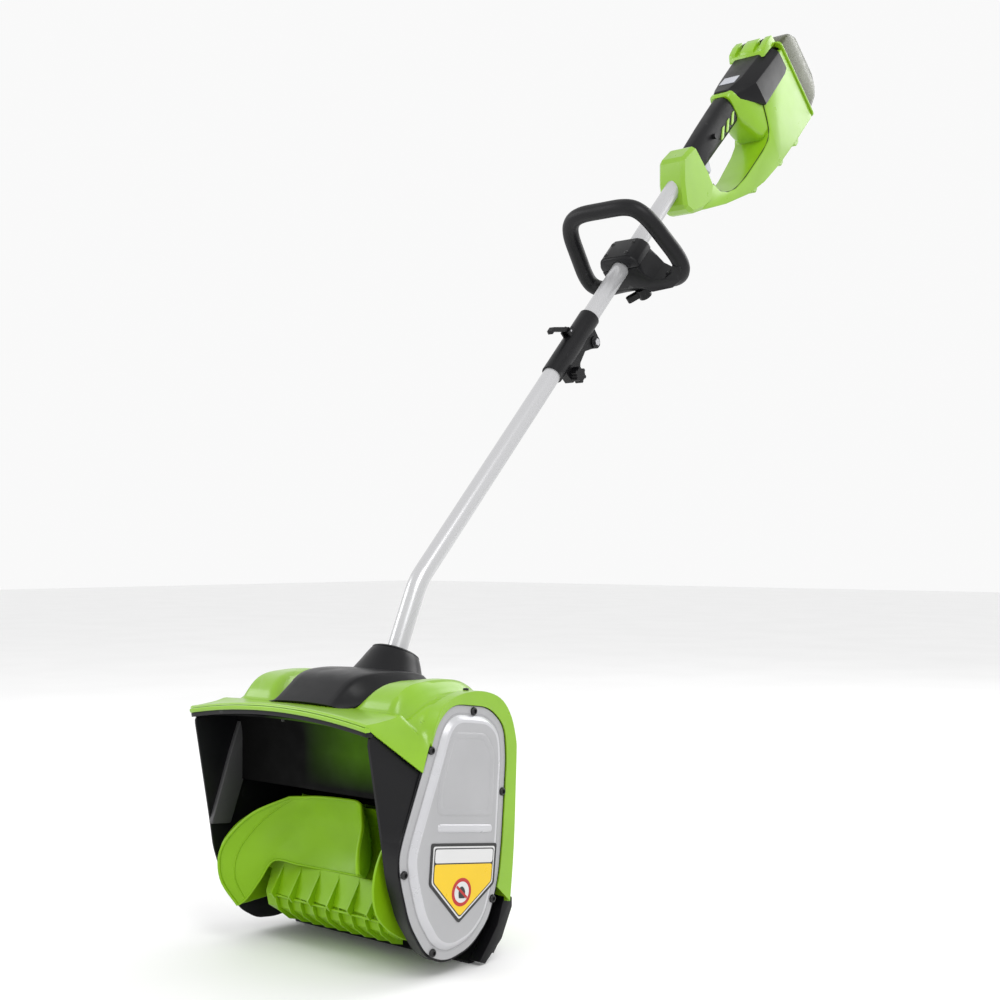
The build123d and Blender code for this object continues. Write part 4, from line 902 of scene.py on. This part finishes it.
def handle_body():
    """The green handle: faceted collar, then guard and battery box with one flat side."""
    v, f = prism(COLLAR, -23.4, 23.4, on_shaft)
    piece("handle_collar", v, f, "upper_shaft", "green_plastic", ["handle_shell_right"],
          bevel=5.0, segments=1, sharp=12)
    v, f = prism(GUARD, lambda a, b: -flank(a, b), flank, on_shaft)
    piece("handle_guard", v, f, "upper_shaft", "green_plastic", ["handle_shell_left"],
          bevel=2.6, segments=3, sharp=25)
    trim = [(1057.6, -36), (1050.6, -56), (1042.7, -72.6), (1029.8, -82.6), (1005, -86.6), (940, -87.6),
            (905, -83.6), (884.2, -74.6), (870.4, -61.6), (864.4, -44)]
    line = [on_shaft(a, b, flank(a, b) - 2.2) for a, b in smooth_line(trim, 4)]
    v, f = tube(line, 0.7, 8)
    piece("handle_seam", v, f, "upper_shaft", "black_plastic")


def neck():
    """Sculpted transition from the grip's end to the battery box."""
    rings = []
    for along, top, low, half in ((1005, 23, -26, 18.5), (1009, 25.5, -38, 20.5), (1018, 24, -56, 22.5),
                                  (1022, 12, -68, 24.5), (1030, 9, -82, 27), (1042, 4, -84, 31),
                                  (1059, 2, -70, 32)):
        outline = [(-half + 4, top), (half - 4, top), (half, top - 8), (half, low + 10), (half - 7, low),
                   (-half + 7, low), (-half, low + 10), (-half, top - 8)]
        rings.append([on_shaft(along, n, x) for x, n in rounded(outline, 6, 4)])
    v, f = loft(rings)
    piece("handle_neck", v, f, "upper_shaft", "green_plastic", sharp=35)


def bumps():
    """Screw bosses along the lower edge."""
    parts = []
    for along, above, radius in ((952, -118, 8), (1040, -130, 9), (1098, -131, 11)):
        width = flank(along, above) - 5.0
        rings = [[on_shaft(along + r * a, above + r * b, x) for a, b in circle(1.0, 28)]
                 for r, x in ((radius - 1.5, -width), (radius, 1.5 - width), (radius, width - 1.5),
                              (radius - 1.5, width))]
        parts.append(loft(rings))
    v, f = joined(*parts)
    piece("handle_bosses", v, f, "upper_shaft", "green_plastic", sharp=40)


def grip():
    """Soft grip with flattened flanks and a rounded end."""
    rings = []
    for along, top, low, half in ((860, 19, -20, 14), (866, 21, -22, 15.6), (930, 22.5, -24, 16.8),
                                  (970, 23, -26, 17.0), (1000, 23, -27, 17.2), (1010, 22, -27, 16.6),
                                  (1016, 17, -22, 13), (1018, 8, -10, 6)):
        middle, tall = (top + low) / 2, (top - low) / 2
        ring = []
        for k in range(40):
            a = k * math.tau / 40
            c, s = math.cos(a), math.sin(a)
            ring.append(on_shaft(along, middle + tall * math.copysign(abs(s) ** 0.8, s),
                                 half * math.copysign(abs(c) ** 0.62, c)))
        rings.append(ring)
    v, f = loft(rings)
    piece("grip", v, f, "upper_shaft", "soft_grip", ["grip_sleeve"], sharp=50)


def inserts():
    """Slanted pale green bars let into both sides of the grip."""
    parts = []
    for side in (-1, 1):
        for along in (944, 964, 984):
            bar = [(along - 6, -15), (along + 2, -15), (along + 18, -3), (along + 10, -3)]
            parts.append(prism(rounded(bar, 2.4, 4), side * 17.0 - 1.3, side * 17.0 + 1.3, on_shaft))
    v, f = joined(*parts)
    piece("inserts", v, f, "upper_shaft", "green_insert", ["grip_inserts"], bevel=0.5)


def black_cover():
    """Black cover over the battery box: six sided, with a pale strip on top that is a painted sheen."""
    rings = []
    for along, top, crown, eave, half, low in ((1015, 25.5, 12, 15, 20, 6), (1018, 26.5, 13, 14, 22, 3),
                                               (1030, 25.5, 16, 11, 28, -6), (1056, 22.5, 21, 7, 40.2, -35),
                                               (1140, 19.5, 25, 2, 40.6, -34), (1150, 18.5, 24, 2, 40.4, -32),
                                               (1152, 17, 23, 2, 39, -30)):
        outline = [(-crown, top), (crown, top), (half, eave), (half, low), (-half, low), (-half, eave)]
        rings.append([on_shaft(along, n, x) for x, n in rounded(outline, 3, 3)])
    v, f = loft(rings)
    piece("cover_black", v, f, "upper_shaft", "black_plastic", ["top_cover"], sharp=22)
    # painted sheen: a pale grey strip where light glints on the black top
    strip = [(1040, 25.2), (1062, 23.2), (1062, 21.6), (1040, 23.6)]
    v, f = prism(strip, -14, 14, on_shaft)
    piece("cover_painted_sheen", v, f, "upper_shaft", "grey_trigger", bevel=0.3)


def hidden_screws():
    """Screws that close the two halves of the handle, set into its left side."""
    parts = []
    for along, above in ((842, 14), (846, -30), (930, -100), (1020, -110), (1110, -110), (1110, -50)):
        side = -flank(along, above) if along > 860 else -23.4
        rings = [[on_shaft(along + r * a, above + r * b, side + x) for a, b in circle(1.0, 20)]
                 for r, x in ((3.4, 1.0), (3.4, -0.5), (2.8, -0.9), (1.7, -0.9), (1.5, 0.3))]
        parts.append(loft(rings))
    v, f = joined(*parts)
    piece("handle_side_screws", v, f, "upper_shaft", "black_screw", ["handle_screws"],
          sharp=40)


handle_body()
neck()
bumps()
grip()
inserts()
black_cover()
hidden_screws()


# ---------------------------------------------------------------- battery rim and door
def rim():
    """Green lip round the mouth of the battery bay, with the hinge block above it."""
    outer = [(-43.5, 14), (43.5, 14), (43.5, -132), (-43.5, -132)]
    rings = []
    for inset, along in ((7.0, 1160.2), (1.0, 1160.2), (0.0, 1161.4), (0.0, 1163.0), (1.0, 1164.2),
                         (7.0, 1164.2)):
        rings.append([on_shaft(along, n, x) for x, n in rounded(outer, 9, 6, inset)])
    rings.append(rings[0])
    v, f = loft(rings, caps=False)
    piece("bay_rim", v, f, "upper_shaft", "green_plastic", ["battery_rim"], sharp=40)
    block = [(1120, 17), (1128, 27), (1146, 29.5), (1161, 28), (1163, 14), (1150, 14)]
    parts = [prism(block, low, high, on_shaft) for low, high in ((-34, -22), (-12.4, 12.4), (22, 34))]
    bridge = [(1118, 16), (1124, 23.5), (1147, 23.5), (1147, 14)]
    parts.append(prism(bridge, -33, 33, on_shaft))
    v, f = joined(*parts)
    piece("hinge_block", v, f, "upper_shaft", "green_plastic", bevel=1.0)


def door():
    """Smoky dome over the battery, with a chamfered crown."""
    profile = [(1165, 8.5, -126, 37.5), (1172, 8, -125, 37.5), (1200, 4, -120, 36), (1214, -2, -114, 33),
               (1230, -16, -100, 28), (1237, -26, -88, 23)]
    rings, inside = [], []
    for along, top, low, half in profile:
        outline = [(-half, top), (half, top), (half, low), (-half, low)]
        rings.append([on_shaft(along, n, x) for x, n in rounded(outline, 9, 6)])
        back = 2.2 if along > 1200 else 0
        inside.append([on_shaft(along - back, n, x) for x, n in rounded(outline, 8, 6, 2.2)])
    v, f = loft(rings, caps=False)
    count = len(rings[0])
    f.append(tuple(range((len(rings) - 1) * count, len(rings) * count)))
    v2, f2 = loft(inside, caps=False)
    f2.append(tuple(range((len(rings) - 1) * count, len(rings) * count)))
    base = len(v)
    edge = [(i, (i + 1) % count, base + (i + 1) % count, base + i) for i in range(count)]
    v, f = joined((v, f), (v2, f2))
    piece("door_dome", v, f + edge, "door", "smoke_door", ["battery_door"], sharp=24)
    arm = [(1156, 26), (1164, 24), (1176, 13), (1176, 4), (1168, 4), (1165, 16), (1156, 18), (1152.5, 22)]
    v, f = joined(*(prism(arm, x, x + 8, on_shaft) for x in (-21, 13)))
    piece("door_arms", v, f, "door", "battery_black", bevel=0.8)


rim()
door()

# ---------------------------------------------------------------- studio
FOCAL_MM = 55.65
CAMERA_AT = Vector((1.35806, -1.29734, 0.47338))
AZIMUTH, ELEVATION = math.radians(41.908), math.radians(-1.719)


def studio():
    """Pale floor, soft lights and the camera."""
    floor_mesh = bpy.data.meshes.new("floor")
    reach = 14.0
    floor_mesh.from_pydata([(-reach, -reach, 0), (reach, -reach, 0), (reach, reach, 0), (-reach, reach, 0)],
                           [], [(0, 1, 2, 3)])
    floor = bpy.data.objects.new("floor", floor_mesh)
    bpy.context.scene.collection.objects.link(floor)
    material, shader = new_material("floor_paint")
    cloud = noise(material.node_tree, 3.0)
    tone = ramp(material.node_tree, cloud.outputs["Fac"], (0.88, 0.88, 0.88), (0.9, 0.9, 0.9))
    material.node_tree.links.new(tone.outputs["Color"], shader.inputs["Base Color"])
    shader.inputs["Roughness"].default_value = 0.7
    floor.data.materials.append(material)
    world = bpy.data.worlds.new("studio")
    world.use_nodes = True
    world.node_tree.nodes["Background"].inputs["Color"].default_value = (1, 1, 1, 1)
    world.node_tree.nodes["Background"].inputs["Strength"].default_value = 0.95
    bpy.context.scene.world = world
    target = Vector((0, 0.2, 0.5))
    for name, place, size, power in (("key", (2.2, -1.0, 2.6), 1.6, 36), ("left", (-2.6, -1.6, 1.8), 1.8, 26),
                                     ("back", (0.6, 2.8, 2.2), 2.0, 34), ("front", (0.6, -2.9, 1.0), 1.4, 8)):
        light = bpy.data.lights.new(name, "AREA")
        light.shape = "DISK"
        light.size = size
        light.energy = power
        lamp = bpy.data.objects.new(name, light)
        lamp.location = place
        lamp.rotation_mode = "QUATERNION"
        lamp.rotation_quaternion = (target - Vector(place)).to_track_quat("-Z", "Y")
        bpy.context.scene.collection.objects.link(lamp)
    camera = bpy.data.objects.new("camera", bpy.data.cameras.new("camera"))
    camera.data.sensor_width = 36.0
    camera.data.lens = FOCAL_MM
    right = Vector((math.cos(AZIMUTH), math.sin(AZIMUTH), 0))
    back = Vector((math.sin(AZIMUTH) * math.cos(ELEVATION), -math.cos(AZIMUTH) * math.cos(ELEVATION),
                   math.sin(ELEVATION)))
    above = back.cross(right)
    turn = Matrix((right, above, back)).transposed()
    camera.matrix_world = Matrix.Translation(CAMERA_AT) @ turn.to_4x4()
    bpy.context.scene.collection.objects.link(camera)
    bpy.context.scene.camera = camera
    bpy.context.scene.view_settings.view_transform = "Standard"


studio()
